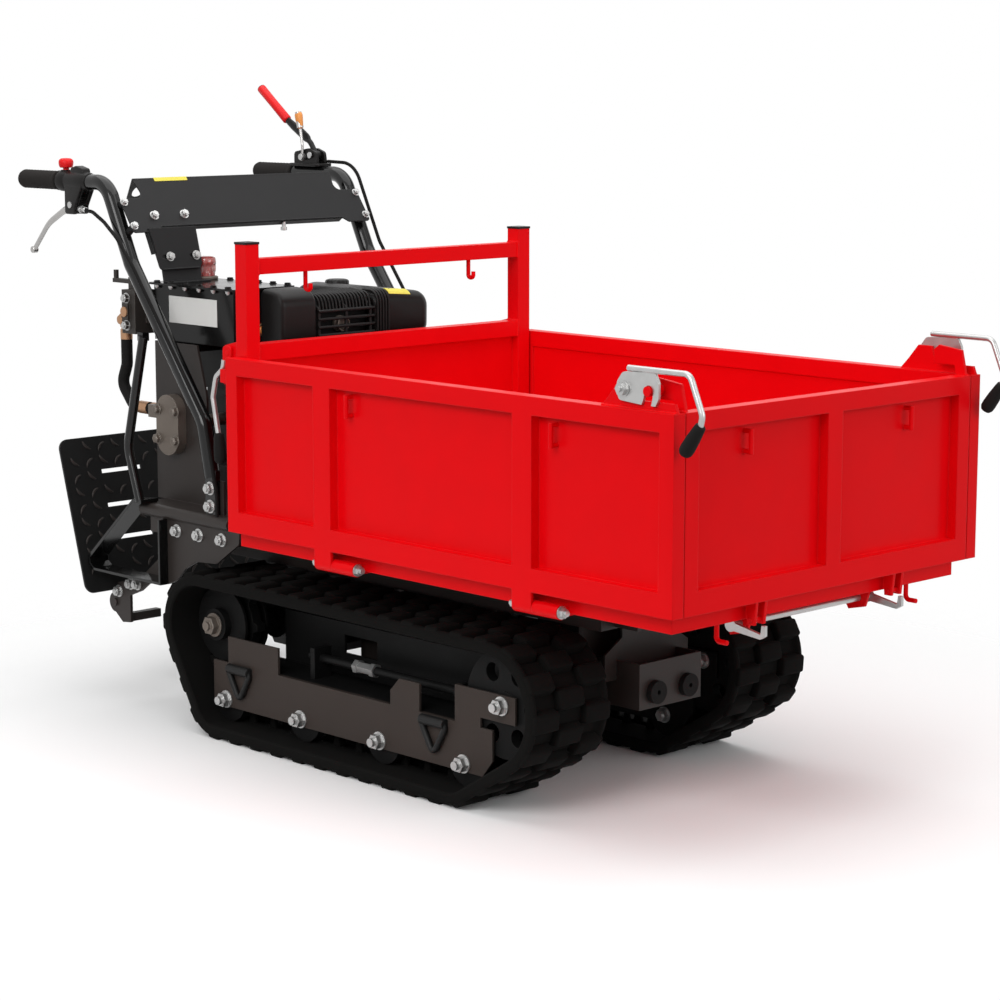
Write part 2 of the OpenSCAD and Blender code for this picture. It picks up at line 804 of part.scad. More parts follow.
module fuel_tank() {
    color(black) union() {
        cross_plate([-330, -76]) polygon([[42, engine_z + 251], [180, engine_z + 251],
            [183, engine_z + 317], [168, engine_z + 340], [80, engine_z + 347],
            [42, engine_z + 341]]);
        translate([-270, 110, engine_z + 332]) cylinder(h = 22, r = 24);
        block([-320, -225], [77, 94], [engine_z + 185, engine_z + 252]);
    }
}

tank_x = [-400, -156];
tank_y = [-238, -104];
tank_z = [719, lid_z - 4];
flange = 9;

module hydraulic_tank() {
    color(black) union() {
        block(tank_x, tank_y, tank_z);
        block([-390, -270], [tank_y[0] + 10, tank_y[1] - 10], [703, tank_z[0] + 1]);
    }
}

module tank_lid() {
    flange_y = [tank_y[0] - flange, tank_y[1] + flange];
    color(black) union() {
        block([tank_x[0] - flange, tank_x[1] + flange], flange_y, [lid_z - 4, lid_z]);
        for (x = [tank_x[0]:31:tank_x[1]]) {
            for (y = [tank_y[0] - 4, tank_y[1] + 4]) {
                if (norm([x, y] - breather) > breather_base_r + 8) {
                    translate([x, y, lid_z]) cylinder(h = 4, r = 4.5);
                }
            }
        }
    }
}

breather = [-384, -126];
breather_base_r = 24;

module breather_cap() {
    color(zinc) translate([breather[0], breather[1], lid_z]) {
        cylinder(h = 6, r = breather_base_r);
        cylinder(h = 44, r = 19);
        translate([0, 0, 30]) cylinder(h = 12, r = 21);
    }
}

module gear_pump() {
    color(cast_grey) union() {
        side_plate([-pump_plate_y - 20, -pump_plate_y]) {
            for (dz = [-24, 24]) {
                translate([crank_x, crank_z + dz]) circle(34);
            }
            translate([crank_x - 34, crank_z - 24]) square([68, 48]);
        }
        shaft_y(crank_x, crank_z, [-pump_plate_y - 1, -190], 33);
        shaft_y(crank_x, crank_z, [-191, -131], 12);
        for (dx = [-28, 28]) {
            for (dz = [-28, 28]) {
                hex_y(crank_x + dx, crank_z + dz, [-pump_plate_y - 27, -pump_plate_y - 19], 8);
            }
        }
        block([crank_x - 62, crank_x - 30], [-pump_plate_y - 18, -pump_plate_y - 2],
            [crank_z + 10, crank_z + 34]);
    }
}

valve_x = [-470, -428];
valve_y = [-264, -216];
valve_z = [727, 811];

module control_valve() {
    color(cast_grey) union() {
        block(valve_x, valve_y, valve_z);
        block([valve_x[1] - 1, tank_x[0]], [valve_y[0] + 26, valve_y[1]],
            [valve_z[0] + 20, valve_z[1] - 10]);
        shaft_y(valve_x[0] + 16, valve_z[1] - 16, [valve_y[0] - 8, valve_y[0]], 8);
        shaft_y(valve_x[0] + 16, valve_z[0] + 16, [valve_y[0] - 8, valve_y[0]], 8);
        block([valve_x[0] + 8, valve_x[0] + 26], [valve_y[0] - 6, valve_y[0]],
            [valve_z[0] + 26, valve_z[1] - 26]);
        both_lugs = [valve_y[0] + 12, valve_y[0] + 30];
        for (y = both_lugs) {
            side_plate([y, y + 5]) difference() {
                translate([valve_x[0] + 6, valve_z[1] - 1]) square([26, 24]);
                translate([valve_x[0] + 19, valve_z[1] + 11]) circle(4);
            }
        }
        shaft_y(valve_x[0] + 19, valve_z[1] + 11, [both_lugs[0] - 3, both_lugs[1] + 8], 4);
    }
}

module valve_lever() {
    pivot = [valve_x[0] + 19, valve_z[1] + 11];
    y = [valve_y[0] + 12 + 5 + run_gap, valve_y[0] + 30 - run_gap];
    color(zinc) union() {
        side_plate(y) difference() {
            union() {
                translate(pivot) circle(8.5);
                translate([pivot[0] - 72, pivot[1] - 1]) square([72, 8]);
            }
            translate(pivot) circle(4 + turn_gap);
        }
        translate([pivot[0] - 68, (y[0] + y[1]) / 2, pivot[1] + 3]) cylinder(h = 20, r = 5);
    }
}

hose_y = -240;

module hydraulic_hose() {
    pump_port = [crank_x - 62, crank_z + 22];
    bottom = hose_path[len(hose_path) - 1];
    color(black) translate([0, hose_y, 0]) union() {
        bent_rod(concat(hose_path, [pump_port]), hose_r, 24);
        bent_rod([[-490, 755], [-490, 712]], hose_r - 2, 10);
        bent_rod([[-506, 747], [valve_x[0] - 3, 735]], 8, 10);
        bent_rod([bottom + 0.25 * (pump_port - bottom), pump_port], hose_r + 1, 10);
    }
}

module handlebar() {
    low = bar_path[0];
    color(black) union() {
        translate([0, -bar_y, 0]) bent_rod(bar_path, tube_r, 50);
        block([low[0] - 16, low[0] + 16], [-bar_y - 5, -bar_y + 5], [deck_top, low[1] + 14]);
    }
}

module handlebar_right() {
    handlebar();
}

module handlebar_left() {
    left_side() handlebar();
}

module handle_grips() {
    color(rubber) both_sides() difference() {
        shaft_x(-bar_y, grip_z, [grip_x, grip_x + grip_l], grip_r);
        shaft_x(-bar_y, grip_z, [grip_x + 4, grip_x + grip_l + 1], tube_r + turn_gap);
    }
}

console_front = [-380, 923];
console_ridge = [-452, 1023];
console_rear = [-528, 999];

// Folded console with cut-outs at its ends, and the bracket plate that ties it to the tank
module console_panel() {
    t = sheet_t;
    edge = bar_y - tube_r - 1;
    d = unit(console_front, console_ridge);
    n = [d[1], -d[0]];
    color(black) union() {
        difference() {
            side_plate([-edge, edge])
                polygon([console_front, console_ridge, console_rear, console_rear - [0, t],
                    console_ridge - [2, t + 1], console_front - t * n]);
            both_sides() {
                block([-480, -428], [-edge - 1, -edge + 30], [981, 1017]);
                block([-540, -466], [-edge - 1, -edge + 20], [973, 1043]);
            }
        }
        both_sides() for (s = [24, 70]) {
            p = console_front + s * d;
            translate([p[0], -bar_y, p[1]]) rotate([0, atan2(n[0], n[1]), 0])
                translate([0, 0, -8]) cylinder(h = 9, r = 9);
            side_plate([-bar_y, -edge + 6]) polygon([p - 9 * d, p + 9 * d, p + 9 * d - 5 * n,
                p - 9 * d - 5 * n]);
        }
        side_plate([-232, -150])
            polygon([console_front + 30 * d - t * n, console_front + 2 * d - t * n, [-370, lid_z + 24],
                [-370, lid_z], [-340, lid_z], [-340, lid_z + 4], [-366, lid_z + 4], [-366, lid_z + 24],
                console_front + 2 * d, console_front + 30 * d]);
    }
}

throttle_pin = [-574, grip_z + 33];
perch_top = grip_z + 21;
stop_x = -600;
stop_r = 6;

module lever_brackets() {
    color(black) union() {
        difference() {
            side_plate([-bar_y - 21, -bar_y + 21])
                polygon([[-616, perch_top], [-508, perch_top], [-500, grip_z + 3],
                    [-516, grip_z - 63], [-560, grip_z - 63],
                    [-616, grip_z - 14]]);
            shaft_x(-bar_y, grip_z, [-620, -480], tube_r + turn_gap);
            translate([stop_x, -bar_y, grip_z]) cylinder(h = 40, r = stop_r + turn_gap);
            side_plate([-bar_y - 7, -bar_y + 7]) polygon([[-600, grip_z - 35], [-556, grip_z - 35],
                [-548, grip_z - 67],
                [-600, grip_z - 67]]);
        }
        shaft_y(-566, grip_z - 45, [-bar_y - 22, -bar_y + 22], 4);
        difference() {
            block([-616, -524], [bar_y - 22, bar_y + 22], [grip_z + tube_r - 1, grip_z + tube_r + 5]);
            shaft_x(bar_y, grip_z, [-660, -500], tube_r + turn_gap);
        }
        for (y = [bar_y - 14, bar_y + 8]) {
            side_plate([y, y + 6]) difference() {
                polygon([[-606, grip_z + tube_r + 4], [-532, grip_z + tube_r + 4], [-536, grip_z + 43],
                    [-560, grip_z + 51],
                    [-606, grip_z + 43]]);
                translate([-552, grip_z + 37]) circle(4);
                translate(throttle_pin) circle(4);
            }
        }
        shaft_y(-552, grip_z + 37, [bar_y - 18, bar_y + 18], 4);
        shaft_y(throttle_pin[0], throttle_pin[1], [bar_y - 24, bar_y + 18], 4);
    }
}

module clutch_lever() {
    color(zinc) difference() {
        union() {
            translate([0, -bar_y, 0]) bent_rod([[-566, grip_z - 45], [-612, grip_z - 59],
                [-664, grip_z - 85], [-716, grip_z - 139]], 6, 50);
            shaft_y(-566, grip_z - 45, [-bar_y - 6, -bar_y + 6], 9);
        }
        shaft_y(-566, grip_z - 45, [-bar_y - 8, -bar_y + 8], 4 + turn_gap);
    }
}

module drive_lever() {
    color(red) difference() {
        union() {
            translate([0, bar_y + 2, 0])
                bent_rod([[-552, grip_z + 37], [-572, grip_z + 63], [-640, grip_z + 103],
                    [-732, grip_z + 173]], 5.5, 30);
            translate([0, bar_y + 2, 0]) bent_rod([[-648, grip_z + 109], [-732, grip_z + 173]], 9, 10);
            shaft_y(-552, grip_z + 37, [bar_y - 7, bar_y + 7], 9);
        }
        shaft_y(-552, grip_z + 37, [bar_y - 9, bar_y + 9], 4 + turn_gap);
    }
}

module throttle_lever() {
    y = bar_y - 18;
    color("orange") difference() {
        translate([throttle_pin[0], y, throttle_pin[1]]) union() {
            bent_rod([[0, 0], [0, 24], [-8, 68]], 3, 10);
            bent_rod([[-6, 60], [-12, 92]], 7, 10);
            shaft_y(0, 0, [-3.5, 3.5], 7.5);
        }
        shaft_y(throttle_pin[0], throttle_pin[1], [y - 5, y + 5], 4 + turn_gap);
    }
}

module stop_button() {
    color(red) translate([stop_x, -bar_y, perch_top]) {
        translate([0, 0, 4]) cylinder(h = 18, r = 11);
        translate([0, 0, -1.5]) cylinder(h = 6, r = stop_r);
    }
}

cable_y = bar_y + tube_r + cable_r + 0.3;

module control_cables() {
    color(rubber) union() {
        translate([0, -cable_y, 0]) bent_rod(right_cable, cable_r, 30);
        translate([0, cable_y, 0]) bent_rod(left_cable, cable_r, 30);
    }
}

guard_y = [-deck_y - 22, -deck_y + 22];
guard_low = 263;

// Bent side guards behind the tracks, with the thin stays up to the handlebars
module rear_guards() {
    t = 5;
    color(black) both_sides() union() {
        side_plate(guard_y)
            polygon([[deck_x[0] + 16, deck_top], [deck_x[0] + 16, deck_top + t],
                [deck_x[0] - 8, deck_top + t],
                [-525, 289], [-522, 273], [-508, guard_low], [deck_x[0] + 76, guard_low],
                [deck_x[0] + 76, deck_z - deck_r],
                [deck_x[0] + 76 - t, deck_z - deck_r], [deck_x[0] + 76 - t, guard_low + t],
                [-506, guard_low + t],
                [-516, 276], [-518, 286], [deck_x[0] - 6, deck_top]]);
        translate([0, -bar_y - tube_r - 9, 0]) bent_rod(stay_path, 9, 60);
        block([-345, -328], [-bar_y - tube_r - 10, -bar_y - tube_r + 5], [725, 741]);
        block([deck_x[0] + 4, deck_x[0] + 28], [-bar_y - tube_r - 16, -deck_y + 10],
            [deck_top, deck_top + 8]);
    }
}

step_ear_y = 252;

module step_bracket() {
    color(black) both_sides() union() {
        side_plate([-step_ear_y - 18, -step_ear_y - 12]) {
            translate([step_x, step_z]) circle(step_pin_r + 12);
            polygon([[step_x, step_z - 20], [step_x + 23, step_z - 37], [step_x + 49, step_z - 34],
                [step_x + 49, step_z + 20], [step_x + 85, step_z + 34], [deck_x[0] + 54, rail_z],
                [deck_x[0] + 54, rail_top - 1],
                [deck_x[0] + 26, rail_top - 1], [deck_x[0] + 26, rail_z + 12],
                [step_x + 85, step_z + 60], [step_x + 10, step_z + 41], [step_x, step_z + 20]]);
        }
        shaft_y(step_x, step_z, [-step_ear_y - 22, -step_ear_y + 12], step_pin_r);
        block([-478, -462], [-step_ear_y - 13, -step_ear_y + 60], [159, 175]);
    }
}

module step_plate() {
    corner = 20;
    foot = 24;
    color(black) difference() {
        translate([step_x, 0, step_z]) rotate([0, -step_lean, 0]) union() {
            cross_plate([-4, 0]) difference() {
                union() {
                    translate([-step_y + corner, foot]) square([2 * (step_y - corner), step_l]);
                    translate([-step_y, foot + corner]) square([2 * step_y, step_l - 2 * corner]);
                    for (y = [-step_y + corner, step_y - corner]) {
                        for (z = [foot + corner, foot + step_l - corner]) {
                            translate([y, z]) circle(corner);
                        }
                    }
                }
                for (y = [-245, 150]) {
                    for (down = [75, 143, 209]) {
                        translate([y, foot + step_l - down]) square([95, 8]);
                    }
                }
            }
            both_sides() side_plate([-step_ear_y - 8, -step_ear_y + 4]) {
                circle(step_pin_r + 7);
                translate([-10, 0]) square([10, 60]);
            }
        }
        shaft_y(step_x, step_z, [-step_y, step_y], step_pin_r + turn_gap);
    }
}

// Axle bolts through the track frames, with nuts, and the bolts of gussets, handlebar and step
module chassis_bolts() {
    out = -frame_out - chassis_t;
    color(zinc) both_sides() union() {
        for (p = concat([for (x = roller_xs) [x, roller_z]], [[idler_x, idler_z]])) {
            shaft_y(p[0], p[1], [out - 24, -frame_in + chassis_t + 8], axle_r);
            shaft_y(p[0], p[1], [out - 3, out], axle_r + 8);
            hex_y(p[0], p[1], [out - 16, out - 3], axle_r + 6);
            hex_y(p[0], p[1], [-frame_in + chassis_t, -frame_in + chassis_t + 8], axle_r + 6);
        }
        for (x = [-258, -191, -121]) {
            hex_y(x, 370, [-deck_y - chassis_t / 2 - 8, -deck_y - chassis_t / 2], 10);
        }
        for (z = [429, 463]) {
            hex_y(-154, z, [-bar_y - 13, -bar_y - 5], 10);
        }
        for (p = [[-492, 217], [-452, 237], [-430, 239]]) {
            hex_y(p[0], p[1], [-step_ear_y - 26, -step_ear_y - 18], 9);
        }
    }
}

module hinge_barrels() {
    for (x = straps) {
        from = x + strap_w / 2 + run_gap;
        difference() {
            union() {
                shaft_x(-hinge_y, hinge_z, [from, from + barrel_l], barrel_r);
                block([from, from + barrel_l], [-hinge_y, -floor_y + 20], [hinge_z - 8, hinge_z + 8]);
            }
            shaft_x(-hinge_y, hinge_z, [from - 1, from + barrel_l + 1], hinge_bolt_r);
        }
    }
}

module tip_ear(y) {
    side_plate(y) difference() {
        union() {
            polygon([[tip_x - 60, floor_bottom + 1], [tip_x - 18, tip_z - 12], [tip_x + 18, tip_z - 12],
                [tip_x + 60, floor_bottom + 1]]);
            translate([tip_x, tip_z]) circle(24);
        }
        translate([tip_x, tip_z]) circle(tip_r + turn_gap);
    }
}

// Long hole in which the rod's pin drifts while the bed tips
eye_drift = [12, 3];
eye_slot_r = cyl_pin_r + eye_drift[1] + 0.7;

module eye_slot() {
    translate([eye_x, eye_z - eye_drift[1]]) {
        square([2 * eye_drift[0], 2 * eye_slot_r], center = true);
        for (s = [-1, 1]) {
            translate([s * eye_drift[0], 0]) circle(eye_slot_r);
        }
    }
}

catch_x = bed_l - catch_back;
catch_z = bed_z - catch_drop;
catch_lug_y = catch_y - 26;

// Floor sheet on its frame, with hinge barrels, tipping ears, cylinder lugs and catch brackets
module bed_floor() {
    frame_x = [post_w + 2, gate_back - panel_gap];
    color(red) union() {
        block([post_w - 4, gate_back - panel_gap], [-floor_y, floor_y], [bed_z - 1, bed_z + sheet_t]);
        both_sides() {
            block([0, frame_x[1]], [-floor_y, -floor_y + 30], [floor_bottom, bed_z]);
            block([post_w, frame_x[1]], [-ear_in - 25, -ear_in + 15], [floor_bottom, bed_z]);
            hinge_barrels();
            tip_ear([-ear_in - 2 * ear_t + run_gap, -ear_in - run_gap]);
            side_plate([-eye_w / 2 - 10, -eye_w / 2 - 2]) difference() {
                polygon([[eye_x - 60, floor_bottom + 1], [eye_x - 42, eye_z - 28], [eye_x + 42, eye_z - 28],
                    [eye_x + 60, floor_bottom + 1]]);
                eye_slot();
            }
            side_plate([-catch_lug_y - 5, -catch_lug_y]) difference() {
                polygon([[catch_x - 46, floor_bottom + 1], [catch_x - 20, catch_z - 22],
                    [catch_x + 14, catch_z - 14],
                    [catch_x + 24, floor_bottom + 1]]);
                translate([catch_x, catch_z]) circle(catch_r + turn_gap);
            }
            translate([0, -catch_y - 66, 0]) bent_rod([[bed_l - 36, floor_bottom + 4],
                [bed_l - 36, bed_z - 58], [bed_l - 14, bed_z - 58]], hook_r, 8);
        }
        for (x = [0, bed_l / 2 - 20, eye_x - 70, frame_x[1] - 40]) {
            block([x, x + 40], [-floor_y + 1, floor_y - 1], [floor_bottom, bed_z]);
        }
    }
}

module hinge_bolts() {
    color(zinc) both_sides() for (x = straps) {
        end = x + strap_w / 2 + run_gap + barrel_l;
        shaft_x(-hinge_y, hinge_z, [x - strap_w / 2 - 6, end], hinge_bolt_r);
        translate([end, -hinge_y, hinge_z]) rotate([0, 90, 0]) cylinder(h = 9, r = 10, $fn = 6);
        translate([x - strap_w / 2 - 12, -hinge_y, hinge_z]) rotate([0, 90, 0])
            cylinder(h = 12 - run_gap, r = 9, $fn = 6);
    }
}

module rope_hook(at, out) {
    translate(at) {
        cylinder(h = hook_l, r = hook_r);
        for (z = [hook_r, hook_l - hook_r]) {
            translate([0, 0, z]) rotate(out) rotate([0, 90, 0]) cylinder(h = 14, r = hook_r);
        }
    }
}

// One drop side: rails, posts, ribs and sheet, hinge straps, latch bracket and the rear latch pin
module side_panel() {
    y = [-half_w, -panel_in];
    sheet_y = [-panel_in - 7, -panel_in - 7 + sheet_t];
    bracket = [-bracket_y, -bracket_y + plate_t];
    color(red) union() {
        block([0, bed_l], y, [bed_z, bed_z + sill_w]);
        block([0, bed_l], y, [bed_top - rail_w, bed_top]);
        block([0, rail_w], y, [bed_z, bed_top]);
        block([bed_l - rail_w, bed_l], y, [bed_z, bed_top]);
        block([1, bed_l - 1], sheet_y, [bed_z + 1, bed_top - 1]);
        for (x = straps) {
            block([x - strap_w / 2, x + strap_w / 2], [y[0], sheet_y[0] + 1], [bed_z, bed_top - 1]);
            difference() {
                union() {
                    block([x - strap_w / 2, x + strap_w / 2], [y[0], y[0] + strap_t], [hinge_z, bed_z + 1]);
                    shaft_x(-hinge_y, hinge_z, [x - strap_w / 2, x + strap_w / 2], barrel_r);
                }
                shaft_x(-hinge_y, hinge_z, [x - strap_w, x + strap_w], hinge_bolt_r + turn_gap);
            }
            rope_hook([x + strap_w / 2 + 40, y[0] + 4, bed_top - rail_w - 8 - hook_l], 90);
        }
        side_plate(bracket)
            polygon([[latch_x - 52, bed_top - 1], [latch_x - 34, bed_top + 18],
                [latch_x - 14, latch_z + 12],
                [latch_x + 14, latch_z + 12], [latch_x + 24, bed_top + 14], [bed_l - 6, bed_top + 14],
                [bed_l, bed_top - 1]]);
        shaft_y(latch_x, latch_z, [-latch_y - plate_t - run_gap, -bracket_y + 1], latch_pivot_r);
        shaft_y(latch_x, latch_z, [-latch_y - plate_t - run_gap - 6, -latch_y - plate_t - run_gap],
            latch_pivot_r + 4);
        side_plate([-panel_in - plate_t, -panel_in])
            polygon([[0, rear_pin[1] - 14], [0, rear_pin[1] + 14], [rear_pin[0] - 12, rear_pin[1] + 12],
                [rear_pin[0] - 12, rear_pin[1] - 12]]);
        shaft_y(rear_pin[0], rear_pin[1], [-panel_in - 1, -rear_hook_y + plate_t + 3], pin_r);
    }
}

module side_panel_right() {
    side_panel();
}

module side_panel_left() {
    left_side() side_panel();
}

module headboard() {
    x = [post_x, post_x + post_w];
    inner = post_y - post_w / 2;
    color(red) union() {
        both_sides() {
            block(x, [-post_y - post_w / 2, -inner], [bed_z, post_top]);
            side_plate([-rear_hook_y + plate_t + run_gap, -rear_hook_y + 2 * plate_t + run_gap])
                polygon([[x[0] + 1, rear_pivot[1] - 22], [rear_pivot[0] - 14, rear_pivot[1] - 12],
                    [rear_pivot[0] - 14, rear_pivot[1] + 12], [x[0] + 1, rear_pivot[1] + 22]]);
            shaft_y(rear_pivot[0], rear_pivot[1],
                [-rear_hook_y - run_gap, -rear_hook_y + plate_t + run_gap + 1],
                latch_pivot_r);
            translate([post_x + post_w / 2, -202, post_top - 32 - bar_w])
                bent_rod([[0, 9], [0, 12 - hook_l], [14, 12 - hook_l], [14, 24 - hook_l]], hook_r, 6);
        }
        block([x[0], x[1] - 2], [-inner - 1, inner + 1], [bed_z, bed_z + rail_w]);
        block([x[0], x[1] - 2], [-inner - 1, inner + 1], [head_top - rail_w, head_top]);
        block([x[0] + 10, x[0] + 10 + sheet_t], [-inner - 1, inner + 1], [bed_z + 1, head_top - 1]);
        block([x[0] + 2, x[1] - 2], [-inner - 1, inner + 1], [post_top - 26 - bar_w, post_top - 26]);
    }
}

module post_caps() {
    grow = 1;
    color(rubber) both_sides()
        block([post_x - grow, post_x + post_w + grow],
            [-post_y - post_w / 2 - grow, -post_y + post_w / 2 + grow], [post_top, post_top + cap_t]);
}

catch_pin_z = catch_z + 16;

module tailgate() {
    x = [gate_back, bed_l];
    sheet_x = [gate_back + 7 - sheet_t, gate_back + 7];
    color(red) union() {
        block(x, [-gate_y, gate_y], [bed_z, bed_z + sill_w]);
        block(x, [-gate_y, gate_y], [bed_top - rail_w, bed_top]);
        both_sides() {
            block(x, [-gate_y, -gate_y + rail_w], [bed_z, bed_top]);
            side_plate([-ear_y, -ear_y + plate_t])
                polygon([[pin_x - 16, latch_z - 14], [pin_x - 16, latch_z + 10], [pin_x - 6, latch_z + 18],
                    [bed_l - 14, latch_z + 12], [bed_l - 4, bed_top - 1], [gate_back + 1, bed_top - 1],
                    [gate_back - 3, latch_z - 14]]);
            shaft_y(pin_x, latch_z, [-latch_y - plate_t - 4, -ear_y + 1], pin_r);
            rope_hook([bed_l - 4, -200, bed_top - rail_w - 8 - hook_l], 180);
            for (dy = [-14, 8]) {
                side_plate([-catch_y + dy, -catch_y + dy + 6])
                    polygon([[gate_back + 2, bed_z + 1], [gate_back + 6, catch_pin_z - 7],
                        [gate_back + 20, catch_pin_z - 7], [bed_l - 1, bed_z + 1]]);
            }
            shaft_y(gate_back + 12, catch_pin_z, [-catch_y - 16, -catch_y + 16], 4);
        }
        block(x, [-18, 18], [bed_z, bed_top]);
        block(sheet_x, [-gate_y + 1, gate_y - 1], [bed_z + 1, bed_top - 1]);
    }
}

// Shape of a latch plate about its pivot, with a slot that frees the pin as the lever lifts
module latch_plate() {
    slot = pin_r + slot_room;
    difference() {
        polygon([[-12, 8], [-6, 24], [latch_arm + 20, 29], [latch_arm + 20, -12], [latch_arm + 14, -22],
            [latch_arm - 10, -22], [-8, -17], [-13, -8]]);
        circle(latch_pivot_r + turn_gap);
        translate([latch_arm, 0]) circle(slot);
        intersection() {
            difference() {
                circle(latch_arm + slot);
                circle(latch_arm - slot);
            }
            polygon([[0, 0], [2 * latch_arm, 0], [2 * latch_arm, -2 * latch_arm],
                [latch_arm / 2, -2 * latch_arm]]);
        }
    }
}

module latch_front() {
    y = [-latch_y - plate_t, -latch_y];
    mid = (y[0] + y[1]) / 2;
    top = 29 + latch_rod_r - 2;
    color(zinc) union() {
        side_plate(y) translate([latch_x, latch_z]) latch_plate();
        translate([latch_x, mid, latch_z])
            bent_rod([[10, top], [latch_back + 26, top], [latch_back + 52, -28], [latch_back + 48, -44],
                [latch_back + 18, -86]], latch_rod_r, 12);
        translate([latch_x, mid, latch_z])
            bent_rod([[latch_back + 48, -44], [latch_back + 18, -86]], latch_grip_r, 12);
    }
}

module latch_front_right() {
    latch_front();
}

module latch_front_left() {
    left_side() latch_front();
}

// Rear latch: a hanging hook plate that opens forwards, with its rod and grip behind the headboard
module latch_rear() {
    y = [-rear_hook_y, -rear_hook_y + plate_t];
    reach = rear_pivot[1] - rear_pin[1];
    slot = pin_r + slot_room;
    color(zinc) union() {
        side_plate(y) translate(rear_pivot) difference() {
            polygon([[-14, 12], [10, 12], [10, -reach + 14], [6, -reach - 16], [-14, -reach - 16]]);
            circle(latch_pivot_r + turn_gap);
            translate([0, -reach]) circle(slot);
            intersection() {
                difference() {
                    circle(reach + slot);
                    circle(reach - slot);
                }
                polygon([[0, 0], [0, -2 * reach], [2 * reach, -2 * reach], [2 * reach, 0]]);
            }
        }
        translate([rear_pivot[0], -rear_hook_y, rear_pivot[1]]) {
            bent_rod([[-13, -10], [-16, -24], [-34, -40], [-44, -80], [-26, -146],
                [-30, -182]], latch_rod_r, 12);
            bent_rod([[-26, -140], [-30, -184]], latch_grip_r, 12);
        }
    }
}

module latch_rear_right() {
    latch_rear();
}

module latch_rear_left() {
    left_side() latch_rear();
}

// Cross rod under the tailgate, with a J hook at each end
module catch_rod() {
    tip = bed_l + 8;
    color(zinc) union() {
        shaft_y(catch_x, catch_z, [-catch_y - 2, catch_y + 2], catch_r);
        both_sides() side_plate([-catch_y - 3, -catch_y + 3]) {
            translate([catch_x, catch_z]) circle(catch_r + 5);
            polygon([[catch_x, catch_z - 8], [tip - 10, catch_z - 14], [tip, catch_z - 8],
                [tip, catch_pin_z - 7 - run_gap],
                [tip - 7, catch_pin_z - 7 - run_gap], [tip - 9, catch_z - 6], [catch_x, catch_z + 6]]);
        }
    }
}

module along_cylinder() {
    translate([cyl_x, 0, cyl_z]) rotate([0, -cyl_angle, 0]) rotate([0, 90, 0]) children();
}

module cylinder_barrel() {
    color(black) difference() {
        union() {
            along_cylinder() translate([0, 0, 46]) cylinder(h = cyl_l - 46, r = cyl_r);
            along_cylinder() translate([0, 0, cyl_l - 30]) cylinder(h = 30, r = cyl_r + 4);
            shaft_y(cyl_x, cyl_z, [-eye_w / 2, eye_w / 2], eye_r);
            along_cylinder() translate([-eye_r + 4, -eye_w / 2 + 2, 0]) cube([2 * eye_r - 8, eye_w - 4,
                50]);
        }
        shaft_y(cyl_x, cyl_z, [-eye_w, eye_w], cyl_pin_r + turn_gap);
        along_cylinder() translate([0, 0, 60]) cylinder(h = cyl_l, r = rod_r + turn_gap);
    }
}

module cylinder_rod() {
    pin_end = eye_w / 2 + 14;
    color(zinc) union() {
        along_cylinder() translate([0, 0, 80]) cylinder(h = cyl_span - 80 - eye_r + 6, r = rod_r);
        shaft_y(eye_x, eye_z, [-eye_w / 2, eye_w / 2], eye_r);
        shaft_y(eye_x, eye_z, [-pin_end, pin_end], cyl_pin_r);
    }
}

module placed() {
    translate([-origin_x, 0, 0]) children();
}

placed() main_frame();
placed() track_frame_right();
placed() track_frame_left();
placed() front_bumper();
placed() bumper_buffers();
placed() gearbox();
placed() engine_block();
placed() recoil_cover();
placed() muffler();
placed() air_cleaner();
placed() fuel_tank();
placed() hydraulic_tank();
placed() tank_lid();
placed() breather_cap();
placed() gear_pump();
placed() control_valve();
placed() hydraulic_hose();
placed() handlebar_right();
placed() handlebar_left();
placed() console_panel();
placed() handle_grips();
placed() rear_guards();
placed() step_bracket();
placed() track_belt_right();
placed() track_belt_left();
placed() chassis_bolts();
placed() control_cables();
placed() lever_brackets();
placed() bed_floor();
placed() headboard();
placed() post_caps();
placed() hinge_bolts();
placed() side_panel_right();
placed() side_panel_left();
placed() tailgate();
placed() latch_front_right();
placed() latch_front_left();
placed() latch_rear_right();
placed() latch_rear_left();
placed() catch_rod();
placed() cylinder_barrel();
placed() cylinder_rod();
placed() step_plate();
placed() clutch_lever();
placed() drive_lever();
placed() throttle_lever();
placed() stop_button();
placed() valve_lever();
placed() sprocket_right();
placed() sprocket_left();
placed() idler_right();
placed() idler_left();
placed() roller_1_right();
placed() roller_2_right();
placed() roller_3_right();
placed() roller_4_right();
placed() roller_1_left();
placed() roller_2_left();
placed() roller_3_left();
placed() roller_4_left();
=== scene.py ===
# %% [markdown]
# # A tracked power carrier
# A small walk-behind dumper: a red drop-side bed on a black frame, an engine with a hydraulic pump behind it, and two
# rubber tracks below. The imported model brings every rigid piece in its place, so this lesson gives those pieces their
# finishes and makes what a plain solid can't show: rubber belts, bolts, grips, sleeves, hose and tread plate.

# %% Load the frame
import math
import bmesh
import bpy
from mathutils import Matrix, Vector
from mathutils.geometry import tessellate_polygon


